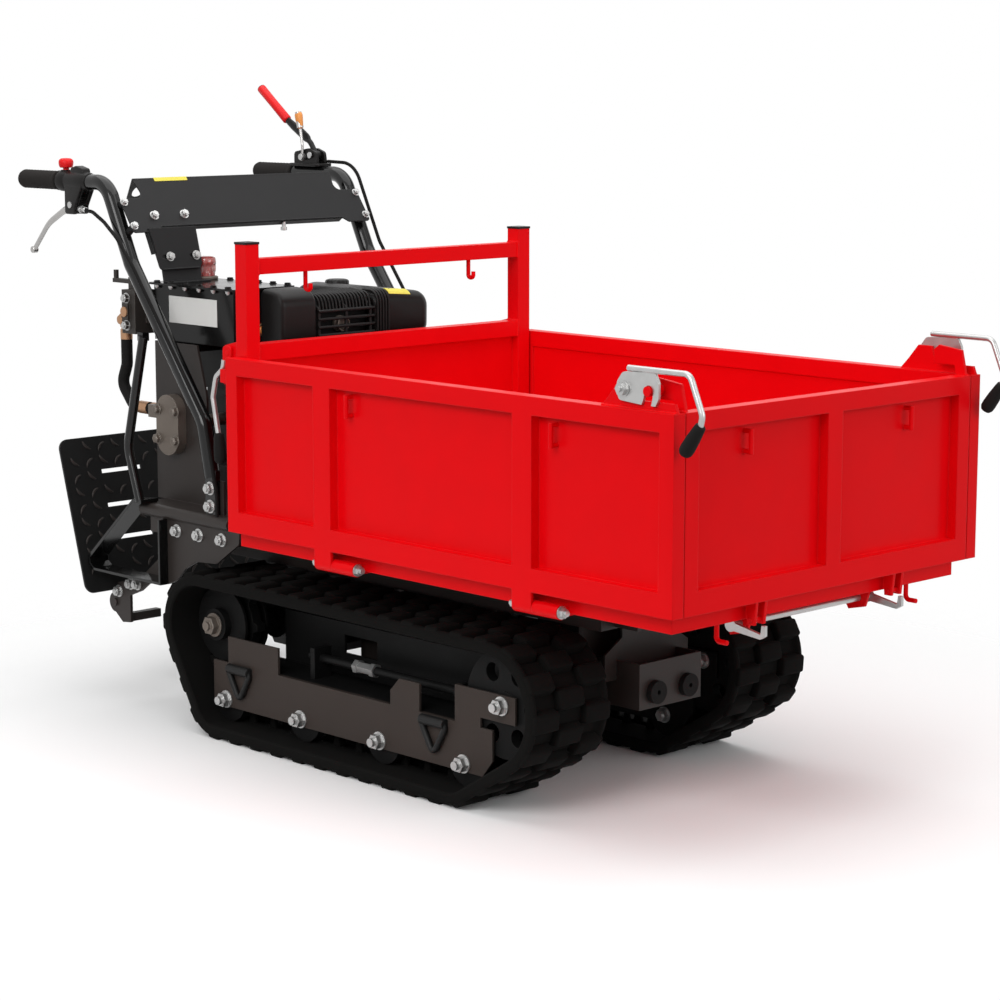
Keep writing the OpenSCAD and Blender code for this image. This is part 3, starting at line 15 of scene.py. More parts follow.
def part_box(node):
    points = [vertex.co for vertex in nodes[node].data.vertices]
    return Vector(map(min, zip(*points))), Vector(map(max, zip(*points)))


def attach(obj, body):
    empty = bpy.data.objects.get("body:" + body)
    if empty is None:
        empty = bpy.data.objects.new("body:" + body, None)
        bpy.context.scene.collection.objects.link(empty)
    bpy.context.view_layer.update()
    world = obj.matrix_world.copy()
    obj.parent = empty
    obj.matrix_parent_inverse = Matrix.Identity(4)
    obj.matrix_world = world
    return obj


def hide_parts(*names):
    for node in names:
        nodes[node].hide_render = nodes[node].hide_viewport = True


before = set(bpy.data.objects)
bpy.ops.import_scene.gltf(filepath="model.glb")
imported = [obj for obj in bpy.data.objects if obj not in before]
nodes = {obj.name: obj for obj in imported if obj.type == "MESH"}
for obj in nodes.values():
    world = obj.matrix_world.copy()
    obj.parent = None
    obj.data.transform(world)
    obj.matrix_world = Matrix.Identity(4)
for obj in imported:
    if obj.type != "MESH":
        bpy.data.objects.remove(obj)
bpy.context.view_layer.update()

# %% [markdown]
# The machine is drawn in millimetres, with stations counted from the rear end of the bed. One small function turns such
# a point into the frame's metres, so every size below reads like a workshop drawing. Most things come in pairs, so both
# sides are named once here.

# %% Millimetres to the frame
ORIGIN_X = 196.0
X, Y, Z = Vector((1, 0, 0)), Vector((0, 1, 0)), Vector((0, 0, 1))
SIDES = ((-1, "right"), (1, "left"))


def mm(x, y, z):
    """A point of the frame from a station, a side and a height in millimetres."""
    return Vector(((x - ORIGIN_X) / 1000, y / 1000, z / 1000))


def placed(name, data):
    """A new object in the scene."""
    made = bpy.data.objects.new(name, data)
    bpy.context.scene.collection.objects.link(made)
    return made


print("bed corner", [round(v, 3) for v in mm(1080, -380, 724)])

# %% [markdown]
# The camera comes first, because it decides what has to be looked after. The picture was taken from the front right
# with a long lens, a little above the bed. A long lens from far away keeps the bed's edges nearly parallel.

# %% Camera
FOCAL_PIXELS, PICTURE_PIXELS, SENSOR = 2664.16, 1000, 36
camera_data = bpy.data.cameras.new("camera")
camera_data.sensor_width = SENSOR
camera_data.lens = FOCAL_PIXELS * SENSOR / PICTURE_PIXELS
camera_data.clip_end = 100
camera = placed("camera", camera_data)
azimuth, elevation = math.radians(46.23), math.radians(9.28)
towards_camera = Vector((math.sin(azimuth) * math.cos(elevation), -math.cos(azimuth) * math.cos(elevation),
                         math.sin(elevation)))
camera.location = mm(3739.7, -3286.9, 1238.1)
camera.rotation_mode = "QUATERNION"
camera.rotation_quaternion = (-towards_camera).to_track_quat("-Z", "Y")
bpy.context.scene.camera = camera
print("lens", round(camera_data.lens, 2))

# %% [markdown]
# Looks, light and repeated shapes are all drawn as trees of nodes. Three small helpers make a node, set or link its
# inputs, and clear a tree, so that a tree reads as a list of its nodes.

# %% Node helpers
def feed(node, values):
    """Sets a node's inputs; an output, or a node for its first output, is linked."""
    for socket, value in values.items():
        if isinstance(value, bpy.types.Node):
            value = value.outputs[0]
        if isinstance(value, bpy.types.NodeSocket):
            node.id_data.links.new(value, node.inputs[socket])
        else:
            node.inputs[socket].default_value = value


def add_node(tree, kind, values=None, **settings):
    """A new node with its settings and inputs."""
    made = tree.nodes.new(kind)
    for name, setting in settings.items():
        setattr(made, name, setting)
    feed(made, values or {})
    return made


def number(tree, operation, *values):
    """One step of arithmetic in a tree."""
    return add_node(tree, "ShaderNodeMath", dict(enumerate(values)), operation=operation).outputs[0]


def cleared(owner):
    """The emptied node tree of a world or a material."""
    owner.use_nodes = True
    owner.node_tree.nodes.clear()
    return owner.node_tree


print("node helpers ready")

# %% [markdown]
# Light is a bright, soft studio: a pale world that is brighter overhead, and three large panels. The camera, shiny
# metal and clear plastic see plain white instead of that fill, as they would in a white room.

# %% Studio
WHITE = (1, 1, 1, 1)
scene = bpy.context.scene
scene.view_settings.view_transform = "Standard"
scene.world = bpy.data.worlds.new("studio")
sky = cleared(scene.world)
upward = add_node(sky, "ShaderNodeSeparateXYZ", {0: add_node(sky, "ShaderNodeTexCoord").outputs["Generated"]})
overhead = add_node(sky, "ShaderNodeMapRange", {"Value": upward.outputs["Z"], "From Min": -0.1, "From Max": 0.9,
                                                "To Min": 0.24, "To Max": 0.60})
fill = add_node(sky, "ShaderNodeBackground", {"Color": WHITE, "Strength": overhead})
white = add_node(sky, "ShaderNodeBackground", {"Color": WHITE, "Strength": 1.0})
rays = add_node(sky, "ShaderNodeLightPath").outputs
mirrored = number(sky, "MAXIMUM", rays["Is Glossy Ray"], rays["Is Transmission Ray"])
seen = number(sky, "MAXIMUM", rays["Is Camera Ray"], mirrored)
either = add_node(sky, "ShaderNodeMixShader", {0: seen, 1: fill, 2: white})
add_node(sky, "ShaderNodeOutputWorld", {"Surface": either})


def soft_panel(name, place, target, size, watts):
    """A large lamp that faces its target."""
    data = bpy.data.lights.new(name, "AREA")
    data.shape = "RECTANGLE"
    data.size, data.size_y = size
    data.energy = watts
    lamp = placed(name, data)
    lamp.location = place
    lamp.rotation_mode = "QUATERNION"
    lamp.rotation_quaternion = (Vector(target) - Vector(place)).to_track_quat("-Z", "Y")


soft_panel("key_panel", (1.2, -3.6, 2.6), (0.1, 0, 0.45), (2.6, 1.8), 90)
soft_panel("front_panel", (3.8, 0.6, 1.7), (0.2, 0, 0.45), (2.2, 1.8), 40)
soft_panel("top_panel", (-0.2, 0.2, 3.6), (0, 0, 0.4), (4.6, 4.0), 92)

# %% [markdown]
# The floor is a pale round sheet that fades out into the white background, so the shadow stays and no horizon shows.
# A large plane with a bent-up rear edge would do as well, but its edge would show in views from other sides.

# %% Floor
FLOOR_RADIUS = 6
floor_mesh = bpy.data.meshes.new("floor")
disc = bmesh.new()
bmesh.ops.create_circle(disc, cap_ends=True, radius=FLOOR_RADIUS, segments=96)
disc.to_mesh(floor_mesh)
disc.free()
floor = placed("floor", floor_mesh)
pale = bpy.data.materials.new("pale_floor")
sheet = cleared(pale)
distance = add_node(sheet, "ShaderNodeVectorMath", {0: add_node(sheet, "ShaderNodeTexCoord").outputs["Object"]},
                    operation="LENGTH")
fade = add_node(sheet, "ShaderNodeMapRange", {"Value": distance.outputs["Value"], "From Min": 0.80, "From Max": 1.75},
                interpolation_type="SMOOTHSTEP")
paper = add_node(sheet, "ShaderNodeBsdfDiffuse", {"Color": (0.93, 0.93, 0.93, 1)})
clear = add_node(sheet, "ShaderNodeBsdfTransparent")
blend = add_node(sheet, "ShaderNodeMixShader", {0: fade, 1: paper, 2: clear})
add_node(sheet, "ShaderNodeOutputMaterial", {"Surface": blend})
floor_mesh.materials.append(pale)
print("floor radius", FLOOR_RADIUS)

# %% [markdown]
# Nearly every surface here is paint, plating, casting or rubber. They differ in colour, gloss and grain, so one recipe
# serves all: a mottled colour, a fine bump, edges that look rounded, and a lighter tone on the edges that is partly
# wear and partly a painted highlight. The rounded edge is a shading trick that leaves the imported solids as they are.

# %% Finish recipe
def finish(name, colour, rough, metal=0.0, grain=900.0, bump=0.08, mottle=0.12, edge=1.2, edge_wear_and_highlight=None, coat=0.0,
           spread=14.0, level=0.5, painted_shade_within=None):
    """A surface with mottled colour, fine grain, softened edges and a lighter edge tone; edge and shade in millimetres.

    The edge tone is partly wear and partly a painted highlight. The shade distance paints near-black shade on what lies
    nearer to the machine's middle plane than that distance."""
    made = bpy.data.materials.new(name)
    made.use_nodes = True
    tree = made.node_tree

    def between(share, first, second):
        return add_node(tree, "ShaderNodeMix", {0: share, 6: first, 7: second}, data_type="RGBA").outputs[2]

    where = add_node(tree, "ShaderNodeTexCoord").outputs["Object"]
    noises = [add_node(tree, "ShaderNodeTexNoise", {"Vector": where, "Scale": scale, "Detail": detail})
              for scale, detail in ((spread, 6), (grain, 3))]
    cloud, fine = [noise.outputs["Fac"] for noise in noises]
    tone = between(cloud, (*[c * (1 - mottle) for c in colour], 1), (*[min(1, c * (1 + mottle)) for c in colour], 1))
    gloss = add_node(tree, "ShaderNodeMapRange", {"Value": cloud, "To Min": max(0.03, rough - 0.08),
                                                  "To Max": min(1, rough + 0.08)})
    round_edge = add_node(tree, "ShaderNodeBevel", {"Radius": edge / 1000}, samples=4)
    pits = add_node(tree, "ShaderNodeBump", {"Strength": bump, "Distance": 0.001, "Height": fine, "Normal": round_edge})
    # Edge tone: partly wear, partly a painted highlight on the rounded edges.
    if edge_wear_and_highlight:
        face = add_node(tree, "ShaderNodeNewGeometry").outputs["Normal"]
        turn = add_node(tree, "ShaderNodeVectorMath", {0: face, 1: round_edge}, operation="DOT_PRODUCT")
        edge_wear_and_highlight_mask = add_node(tree, "ShaderNodeMapRange", {"Value": turn.outputs["Value"], "From Min": 0.97, "From Max": 0.80})
        tone = between(number(tree, "MULTIPLY", edge_wear_and_highlight_mask, cloud), tone, (*edge_wear_and_highlight, 1))
    # Painted shade: near-black on what lies nearer to the middle plane, standing in for the shade inside the track
    # loops.
    if painted_shade_within:
        aside = number(tree, "ABSOLUTE", add_node(tree, "ShaderNodeSeparateXYZ", {0: where}).outputs["Y"])
        inner = add_node(tree, "ShaderNodeMapRange", {"Value": aside, "From Min": painted_shade_within / 1000,
                                                      "From Max": painted_shade_within / 1000 - 0.004})
        tone = between(inner, tone, (0.006, 0.006, 0.006, 1))
    feed(tree.nodes["Principled BSDF"], {"Metallic": metal, "Coat Weight": coat, "Coat Roughness": 0.12,
                                         "Specular IOR Level": level, "Base Color": tone, "Roughness": gloss,
                                         "Normal": pits})
    return made


print("recipe ready")

# %% [markdown]
# The finishes themselves are read off the real thing: red enamel on the bed, satin and gloss black coats, zinc on bolts
# and latches, rough rubber on the belts. Blacks get little mirror light, since a white room would turn them grey.

# %% Finishes
# The lighter edge colour given to a finish is partly wear and partly a painted highlight.
red_enamel = finish("red_enamel", (0.74, 0.0012, 0.004), 0.36, grain=420, bump=0.03, mottle=0.05, edge=2.6,
                    edge_wear_and_highlight=(0.84, 0.02, 0.02), coat=0.02, level=0.07)
black_coat = finish("black_coat", (0.010, 0.010, 0.010), 0.46, grain=1500, bump=0.10, edge=1.4, edge_wear_and_highlight=(0.07, 0.07, 0.07),
                    level=0.20)
grey_coat = finish("grey_coat", (0.026, 0.021, 0.019), 0.44, grain=1500, edge_wear_and_highlight=(0.10, 0.09, 0.085), level=0.22)
gloss_black = finish("gloss_black", (0.004, 0.004, 0.004), 0.15, grain=500, bump=0.02, edge=1.5, coat=0.30, level=0.22)
console_coat = finish("console_coat", (0.013, 0.013, 0.0135), 0.50, grain=1700, bump=0.10, edge=2.4,
                      edge_wear_and_highlight=(0.09, 0.09, 0.09), level=0.16)
# The track plates' inner parts get near-black painted shade, for the shade inside the track loops.
track_plate = finish("track_plate", (0.041, 0.032, 0.028), 0.48, grain=1500, edge_wear_and_highlight=(0.11, 0.10, 0.095), level=0.10,
                     painted_shade_within=293)
tank_gloss = finish("tank_gloss", (0.005, 0.0048, 0.0048), 0.20, grain=700, bump=0.03, edge=2.5, coat=0.28, level=0.06)
belt_rubber = finish("belt_rubber", (0.0055, 0.0053, 0.005), 0.88, grain=600, bump=0.25, mottle=0.3, edge=2.5,
                     edge_wear_and_highlight=(0.018, 0.017, 0.016), spread=9, level=0.06)
wheel_black = finish("wheel_black", (0.005, 0.005, 0.005), 0.6, bump=0.15, edge_wear_and_highlight=(0.05, 0.048, 0.045), level=0.10)
soft_rubber = finish("soft_rubber", (0.008, 0.0076, 0.0074), 0.70, grain=1200, bump=0.15, edge=1.0, level=0.10)
foam = finish("grip_foam", (0.020, 0.018, 0.017), 0.9, grain=2200, bump=0.6, edge=1.5, level=0.15)
zinc = finish("zinc_plate", (0.46, 0.46, 0.455), 0.32, metal=0.80, grain=800, bump=0.05, edge=0.6, mottle=0.15,
              spread=60)
bright_steel = finish("bright_steel", (0.42, 0.41, 0.40), 0.22, metal=0.85, grain=500, bump=0.03, edge=0.6, spread=30)
cast_metal = finish("cast_metal", (0.155, 0.130, 0.110), 0.46, metal=0.55, grain=300, bump=0.5, edge=1.5, mottle=0.3,
                    edge_wear_and_highlight=(0.34, 0.31, 0.28), level=0.3)
dark_casting = finish("dark_casting", (0.030, 0.026, 0.023), 0.45, metal=0.3, grain=420, bump=0.4, edge=1.5, mottle=0.3,
                      edge_wear_and_highlight=(0.20, 0.18, 0.16), level=0.3)
copper_fitting = finish("copper_fitting", (0.40, 0.22, 0.12), 0.34, metal=0.65, grain=700, bump=0.06, edge=0.8,
                        spread=50)
engine_black = finish("engine_black", (0.009, 0.008, 0.008), 0.5, bump=0.18, edge_wear_and_highlight=(0.045, 0.043, 0.04), level=0.20)
moulded_black = finish("moulded_black", (0.007, 0.0062, 0.006), 0.34, grain=1800, bump=0.14, edge=1.5, level=0.17)
red_sleeve = finish("red_sleeve", (0.70, 0.006, 0.008), 0.42, grain=1400, bump=0.10, edge=1.0, mottle=0.06, level=0.25)
orange_knob = finish("orange_knob", (0.78, 0.30, 0.07), 0.35, bump=0.05, edge=1.0, mottle=0.06, level=0.3)
yellow_patch = finish("yellow_patch", (0.74, 0.66, 0.10), 0.5, grain=600, bump=0.04, edge=0.3, mottle=0.04, level=0.2)
white_plate = finish("white_plate", (0.70, 0.70, 0.68), 0.4, grain=500, bump=0.03, edge=0.5, mottle=0.04, level=0.3)
print("finishes", len(bpy.data.materials))

# %% [markdown]
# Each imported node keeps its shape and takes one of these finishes. Going through the record's bodies by hand would be
# long, so the nodes are listed by finish and everything else is black powder coat.

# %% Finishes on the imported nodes
by_finish = {
    red_enamel: ["bed_floor", "headboard", "side_panel_right", "side_panel_left", "tailgate"],
    track_plate: ["track_frame_right", "track_frame_left"],
    grey_coat: ["main_frame", "step_bracket", "front_bumper"],
    tank_gloss: ["hydraulic_tank"],
    gloss_black: ["handlebar_right", "handlebar_left", "rear_guards"],
    soft_rubber: ["bumper_buffers"],
    zinc: ["catch_rod"],
    bright_steel: ["cylinder_rod", "throttle_lever"],
    cast_metal: ["gear_pump"],
    dark_casting: ["control_valve", "valve_lever"],
    wheel_black: [f"{wheel}_{side}" for wheel in ("sprocket", "idler", "roller_1", "roller_2", "roller_3", "roller_4")
                  for _, side in SIDES],
    engine_black: ["engine_block"],
    moulded_black: ["post_caps"],
}
chosen = {name: made for made, names in by_finish.items() for name in names}
for name, node in nodes.items():
    node.data.materials.clear()
    node.data.materials.append(chosen.get(name, black_coat))
print("nodes with their own finish", len(chosen))

# %% [markdown]
# A made piece starts on a workbench as loose points and faces, becomes a mesh with one finish, and rides on a body. The
# most common way to close a shape is a skin over rings of points, with both ends filled.

# %% From the workbench to a piece
def as_mesh(name, bm):
    """Mesh data out of the workbench."""
    mesh = bpy.data.meshes.new(name)
    bm.to_mesh(mesh)
    bm.free()
    return mesh


def settle(name, mesh, body, sharp):
    """Smooths a mesh between its sharp edges and lets it ride."""
    mesh.shade_smooth()
    mesh.set_sharp_from_angle(angle=math.radians(sharp))
    piece = placed(name, mesh)
    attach(piece, body)
    return piece


def keep(name, bm, made, body, sharp=38):
    """A finished piece on its body."""
    mesh = as_mesh(name, bm)
    mesh.materials.append(made)
    return settle(name, mesh, body, sharp)


def gather_up(meshes):
    """Several mesh parts in one."""
    whole = bmesh.new()
    for bm in meshes:
        whole.from_mesh(as_mesh("part", bm))
    return whole


def skin(bm, rings, closed=False):
    """Faces from ring to ring; the ends are filled and given back, or the last ring meets the first."""
    for a, b in zip(rings, rings[1:] + (rings[:1] if closed else [])):
        for k in range(len(a)):
            j = (k + 1) % len(a)
            bm.faces.new((a[k], a[j], b[j], b[k]))
    ends = [] if closed else [bm.faces.new(rings[0][::-1]), bm.faces.new(rings[-1])]
    bmesh.ops.recalc_face_normals(bm, faces=bm.faces)
    return ends


print("workbench ready")

# %% [markdown]
# Rods, sleeves, hoses and turned pieces are all the same idea: a ring that travels along a path and changes its radius
# on the way. A curve with a bevel could do it too, but a ring of points gives rounded ends and flattened sections.

# %% Ring along a path
def filleted(points, radius, steps=6):
    """The same corners as points, each turned on an arc."""
    pts = [Vector(p) for p in points]
    path = [pts[0]]
    for a, b, c in zip(pts, pts[1:], pts[2:]):
        u, v = (a - b).normalized(), (c - b).normalized()
        half = u.angle(v) / 2
        cut = min(radius / math.tan(half), 0.49 * (a - b).length, 0.49 * (c - b).length)
        middle = b + (u + v).normalized() * (cut / math.cos(half))
        p, q = b + u * cut - middle, b + v * cut - middle
        turn = p.rotation_difference(q)
        for i in range(steps + 1):
            part = Matrix.Rotation(turn.angle * i / steps, 3, turn.axis)
            path.append(middle + part @ p)
    return path + [pts[-1]]


def ring_mesh(path, radii, sides=24, flat=1.0, way=None):
    """A closed skin of rings; flat squeezes them across the machine, and way lets all of them face one way."""
    bm = bmesh.new()
    rings = []
    for i, p in enumerate(path):
        along = way
        if way is None:
            along = (path[min(i + 1, len(path) - 1)] - path[max(i - 1, 0)]).normalized()
        side = Y - along * along.dot(Y)
        if way is not None or side.length < 1e-6:
            side = along.orthogonal()
        side.normalize()
        up = along.cross(side)
        r = radii[i] if isinstance(radii, list) else radii
        rings.append([bm.verts.new(p + r * (math.cos(a) * flat * side + math.sin(a) * up))
                      for a in (2 * math.pi * k / sides for k in range(sides))])
    skin(bm, rings)
    return bm


def turned(place, way, profile, sides=32):
    """A lathe piece from a place in millimetres, or a point, along a way; profile pairs lengths with radii."""
    start, way = place if isinstance(place, Vector) else mm(*place), Vector(way).normalized()
    path = [start + way * (s / 1000 + 1e-6 * i) for i, (s, _) in enumerate(profile)]
    return ring_mesh(path, [r / 1000 for _, r in profile], sides, way=way)


def dipped(a, b, profile, r):
    """A turned sleeve between two places, whose profile follows from its length and radius."""
    way = Vector(b) - Vector(a)
    return turned(a, way, profile(way.length, r))


def flute(bm, place, band, waves, middle, swing):
    """Pulls the points of a height band in and out in waves about an upright axis."""
    axis = mm(*place)
    for v in bm.verts:
        if band[0] < v.co.z * 1000 < band[1]:
            pull = middle + swing * math.cos(waves * math.atan2(v.co.y - axis.y, v.co.x - axis.x))
            v.co.x = axis.x + (v.co.x - axis.x) * pull
            v.co.y = axis.y + (v.co.y - axis.y) * pull


print("ring helpers ready")

# %% [markdown]
# What repeats is made with Geometry Nodes. The small helper below opens a tree with named inputs, and another one runs
# it on an object, turns the result into a plain mesh and lets it ride. Inputs are set by their identifiers.

# %% Tree helpers
def open_tree(name, sizes):
    """A geometry tree with named number inputs and a material input, and what these inputs give."""
    tree = bpy.data.node_groups.new(name, "GeometryNodeTree")
    tree.interface.new_socket("Geometry", in_out="OUTPUT", socket_type="NodeSocketGeometry")
    tree.interface.new_socket("Geometry", in_out="INPUT", socket_type="NodeSocketGeometry")
    for label, value in sizes.items():
        kind = "NodeSocketInt" if isinstance(value, int) else "NodeSocketFloat"
        tree.interface.new_socket(label, in_out="INPUT", socket_type=kind).default_value = value
    tree.interface.new_socket("Finish", in_out="INPUT", socket_type="NodeSocketMaterial")
    return tree, tree.nodes.new("NodeGroupInput").outputs


def close_tree(tree, given, result):
    """Ends a tree in realised instances with a finish."""
    solid = add_node(tree, "GeometryNodeRealizeInstances", {0: result})
    paint = add_node(tree, "GeometryNodeSetMaterial", {"Geometry": solid, "Material": given["Finish"]})
    add_node(tree, "NodeGroupOutput", {0: paint})
    print(tree.name, len(tree.nodes), "nodes")


def joined(tree, parts):
    """Several parts of a tree in one."""
    both = tree.nodes.new("GeometryNodeJoinGeometry")
    for part in parts:
        tree.links.new(part, both.inputs[0])
    return both


def instances(tree, points, shape, **more):
    """A shape on every point; more names further inputs."""
    return add_node(tree, "GeometryNodeInstanceOnPoints", {"Points": points, "Instance": shape, **more})


def attribute(tree, name, kind):
    """A value that every seed point carries."""
    return add_node(tree, "GeometryNodeInputNamedAttribute", {"Name": name}, data_type=kind)


def grow(name, source, tree, values, made, body, sharp=38):
    """Runs the tree on a source mesh, keeps the plain result and drops the source."""
    modifier = source.modifiers.new("grow", "NODES")
    modifier.node_group = tree
    for item in tree.interface.items_tree:
        if item.in_out == "INPUT" and item.name in values:
            modifier[item.identifier] = values[item.name]
        if item.in_out == "INPUT" and item.name == "Finish":
            modifier[item.identifier] = made
    bpy.context.view_layer.update()
    mesh = bpy.data.meshes.new_from_object(source.evaluated_get(bpy.context.evaluated_depsgraph_get()))
    bpy.data.objects.remove(source)
    mesh.name = name
    print(name, len(mesh.polygons), "faces")
    return settle(name, mesh, body, sharp)


def seeds(name, places, edges=()):
    """Points that a tree grows things on, with an aim and a size each."""
    mesh = bpy.data.meshes.new(name)
    mesh.from_pydata([p for p, _, _ in places], edges, [])
    mesh.attributes.new("aim", "FLOAT_VECTOR", "POINT")
    mesh.attributes.new("size", "FLOAT", "POINT")
    mesh.attributes["aim"].data.foreach_set("vector", [c for _, a, _ in places for c in Vector(a).normalized()])
    mesh.attributes["size"].data.foreach_set("value", [size for _, _, size in places])
    return placed(name, mesh)


print("tree helpers ready")

# %% [markdown]
# Hexagon bolts hold the rollers, the gussets, the console, the handlebar and the step. One tree makes a bolt from a
# washer, a head with a turned chamfer and the end of the stud, and sets one on every seed point, facing its aim.

# %% Bolt tree
bolt_tree, given = open_tree("hex_bolts", {"Head Radius": 0.012, "Head Height": 0.010, "Washer Radius": 0.015,
                                           "Stud Radius": 0.007, "Stud Length": 0.006})


def drum(sides, radius, depth, lift):
    """A cylinder of the bolt tree standing on z = lift."""
    body = add_node(bolt_tree, "GeometryNodeMeshCylinder", {"Vertices": sides, "Radius": radius, "Depth": depth})
    middle = number(bolt_tree, "ADD", number(bolt_tree, "MULTIPLY", depth, 0.5), lift)
    rise = add_node(bolt_tree, "ShaderNodeCombineXYZ", {"Z": middle})
    return add_node(bolt_tree, "GeometryNodeTransform", {"Geometry": body, "Translation": rise}).outputs[0]


head_r, head_h = given["Head Radius"], given["Head Height"]
washer_t = number(bolt_tree, "MULTIPLY", head_h, 0.22)
top = number(bolt_tree, "ADD", washer_t, head_h)
crown_r, crown_h = number(bolt_tree, "MULTIPLY", head_r, 0.82), number(bolt_tree, "MULTIPLY", head_h, 0.07)
bolt = joined(bolt_tree, (drum(6, head_r, head_h, washer_t), drum(28, given["Washer Radius"], washer_t, 0.0),
                          drum(28, crown_r, crown_h, top), drum(16, given["Stud Radius"], given["Stud Length"], top)))
turn = add_node(bolt_tree, "FunctionNodeAlignRotationToVector", {"Vector": attribute(bolt_tree, "aim", "FLOAT_VECTOR")},
                axis="Z")
close_tree(bolt_tree, given, instances(bolt_tree, given["Geometry"], bolt, Rotation=turn,
                                       Scale=attribute(bolt_tree, "size", "FLOAT")))


def bolt_set(name, spots, sizes, made, body):
    """Bolts on spots, each with a place, an aim and a size."""
    return grow(name, seeds(f"{name}_seeds", spots), bolt_tree, sizes, made, body)


# %% [markdown]
# The track's axle bolts are the large bright dots along the frame plates. Each ends in a washer, a tall nut and a
# length of stud. The smaller bolts hold the gussets, the handlebar's feet and the step's bracket.

# %% Bolts on the chassis
AXLES = [(-115 + 216 * i, 69.5) for i in range(4)] + [(626, 186)]
AXLE_NUT = {"Head Radius": 0.0135, "Head Height": 0.0125, "Washer Radius": 0.0165, "Stud Radius": 0.0078,
            "Stud Length": 0.0085}
HUB_NUT = {"Head Radius": 0.0176, "Head Height": 0.0125, "Washer Radius": 0.0225, "Stud Radius": 0.0086,
           "Stud Length": 0.0065}
SMALL_BOLTS = [(x, 300.5, 370, 0.85) for x in (-258, -191, -121)] + [(-154, 300, z, 0.85) for z in (429, 463)]
SMALL_BOLTS += [(x, 270, z, 0.8) for x, z in ((-492, 217), (-452, 237), (-430, 239))]
axle_spots, chassis_spots, hub_spots, shanks = [], [], {}, []
for s, side in SIDES:
    out = Vector((0, s, 0))
    for x, z in AXLES:
        axle_spots.append((mm(x, s * 300, z), out, 1.0))
        chassis_spots.append((mm(x, s * 200, z), -out, 1.0))
        shanks.append(ring_mesh([mm(x, s * 198, z), mm(x, s * 304, z)], AXLE_NUT["Stud Radius"], 20, way=out))
    chassis_spots += [(mm(x, s * y, z), out, size) for x, y, z, size in SMALL_BOLTS]
    low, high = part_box(f"sprocket_{side}")
    outside = low[1] if s < 0 else high[1]
    hub_spots[side] = [(Vector((mm(-155, 0, 204).x, outside - s * 0.0204, 0.204)), out, 1.0)]
bolts = bolt_set("chassis_hex_bolts", chassis_spots, {"Stud Length": 0.004}, zinc, "chassis")
bolt_set("axle_hex_nuts", axle_spots, AXLE_NUT, zinc, "chassis")
for side, spots in hub_spots.items():
    bolt_set(f"sprocket_hub_nut_{side}", spots, HUB_NUT, cast_metal, f"sprocket_{side}")
keep("axle_shanks", gather_up(shanks), zinc, "chassis")
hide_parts("chassis_bolts")

# %% [markdown]
# Two lashing rings hang on each track frame. A ring is a bent rod in a clip, painted black over the grey plate, so a
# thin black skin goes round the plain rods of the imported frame.

# %% Lashing rings
RING_X, RING_Y, RING_Z, RING_DROP = (-70, 463), 306, 131.5, 58
for s, side in SIDES:
    rings = []
    for x in RING_X:
        corners = [(x - 4, RING_Z), (x - 34, RING_Z), (x, RING_Z - RING_DROP), (x + 34, RING_Z), (x + 4, RING_Z)]
        rings.append(ring_mesh(filleted([mm(a, s * RING_Y, b) for a, b in corners], 0.008), 0.0056, 18))
        rings.append(ring_mesh([mm(x + dx, s * RING_Y, RING_Z) for dx in (-30.5, -30, 30, 30.5)],
                               [0.0075, 0.0092, 0.0092, 0.0075], way=X))
    keep(f"lashing_rings_{side}", gather_up(rings), black_coat, "chassis", sharp=50)
print("lashing rings", 2 * len(RING_X))

# %% [markdown]
# The drop sides swing on four long bolts under the bed's edge. Their heads and nuts come from the same tree, and each
# shank runs through the barrels, so the hinge reads as one pin when a side hangs down.

# %% Hinge bolts of the drop sides
HINGE_X, HINGE_Y, HINGE_Z = (262, 754), 368, 385
hinge_spots, hinge_pins = [], []
for s, _ in SIDES:
    for x in HINGE_X:
        hinge_spots.append((mm(x + 78.6, s * HINGE_Y, HINGE_Z), X, 0.72))
        hinge_spots.append((mm(x - 22.6, s * HINGE_Y, HINGE_Z), -X, 0.7))
        hinge_pins.append(ring_mesh([mm(x + dx, s * HINGE_Y, HINGE_Z) for dx in (-26, 80)], 0.0059, 20, way=X))
hinge_heads = bolt_set("hinge_hex_bolts", hinge_spots, {"Stud Length": 0.007}, zinc, "bed")
keep("hinge_pin_shanks", gather_up(hinge_pins), zinc, "bed")
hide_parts("hinge_bolts")

# %% [markdown]
# The two belts are the largest rubber pieces. The carcass is a band swept round the wheels' common tangent line, with a
# groove for the sprocket's teeth. The lugs follow a rule, so a tree spaces them evenly along the same line and sets
# them in three staggered rows, and two rows of guide horns stand on the inside.

# %% The belts' line
LUG_PITCH, OUTER = 60, 10.5
WHEELS = [(-115, 69.5, 43), (533, 69.5, 43), (626, 186, 93), (-155, 204, LUG_PITCH / (2 * math.sin(math.pi / 8)))]


def tangent_normals():
    """For each wheel, the outward normal of the straight run to the next wheel."""
    found = []
    for i, (x, z, r) in enumerate(WHEELS):
        x2, z2, r2 = WHEELS[(i + 1) % 4]
        d = Vector((x2 - x, z2 - z))
        far = d.length
        d.normalize()
        lean = (r - r2) / far
        found.append(lean * d + math.sqrt(1 - lean * lean) * Vector((d.y, -d.x)))
    return found


def belt_line(step=4.0):
    """Points of the belt's outer face and their outward normals, starting on the rear roller."""
    normals = tangent_normals()
    line = []
    for i, (x, z, r) in enumerate(WHEELS):
        a = math.atan2(normals[i - 1].y, normals[i - 1].x)
        b = math.atan2(normals[i].y, normals[i].x)
        while b < a:
            b += 2 * math.pi
        count = max(2, math.ceil(math.degrees(b - a) / step))
        for k in range(count + 1):
            t = a + (b - a) * k / count
            n = Vector((math.cos(t), math.sin(t)))
            line.append((Vector((x, z)) + (r + OUTER) * n, n))
    return line


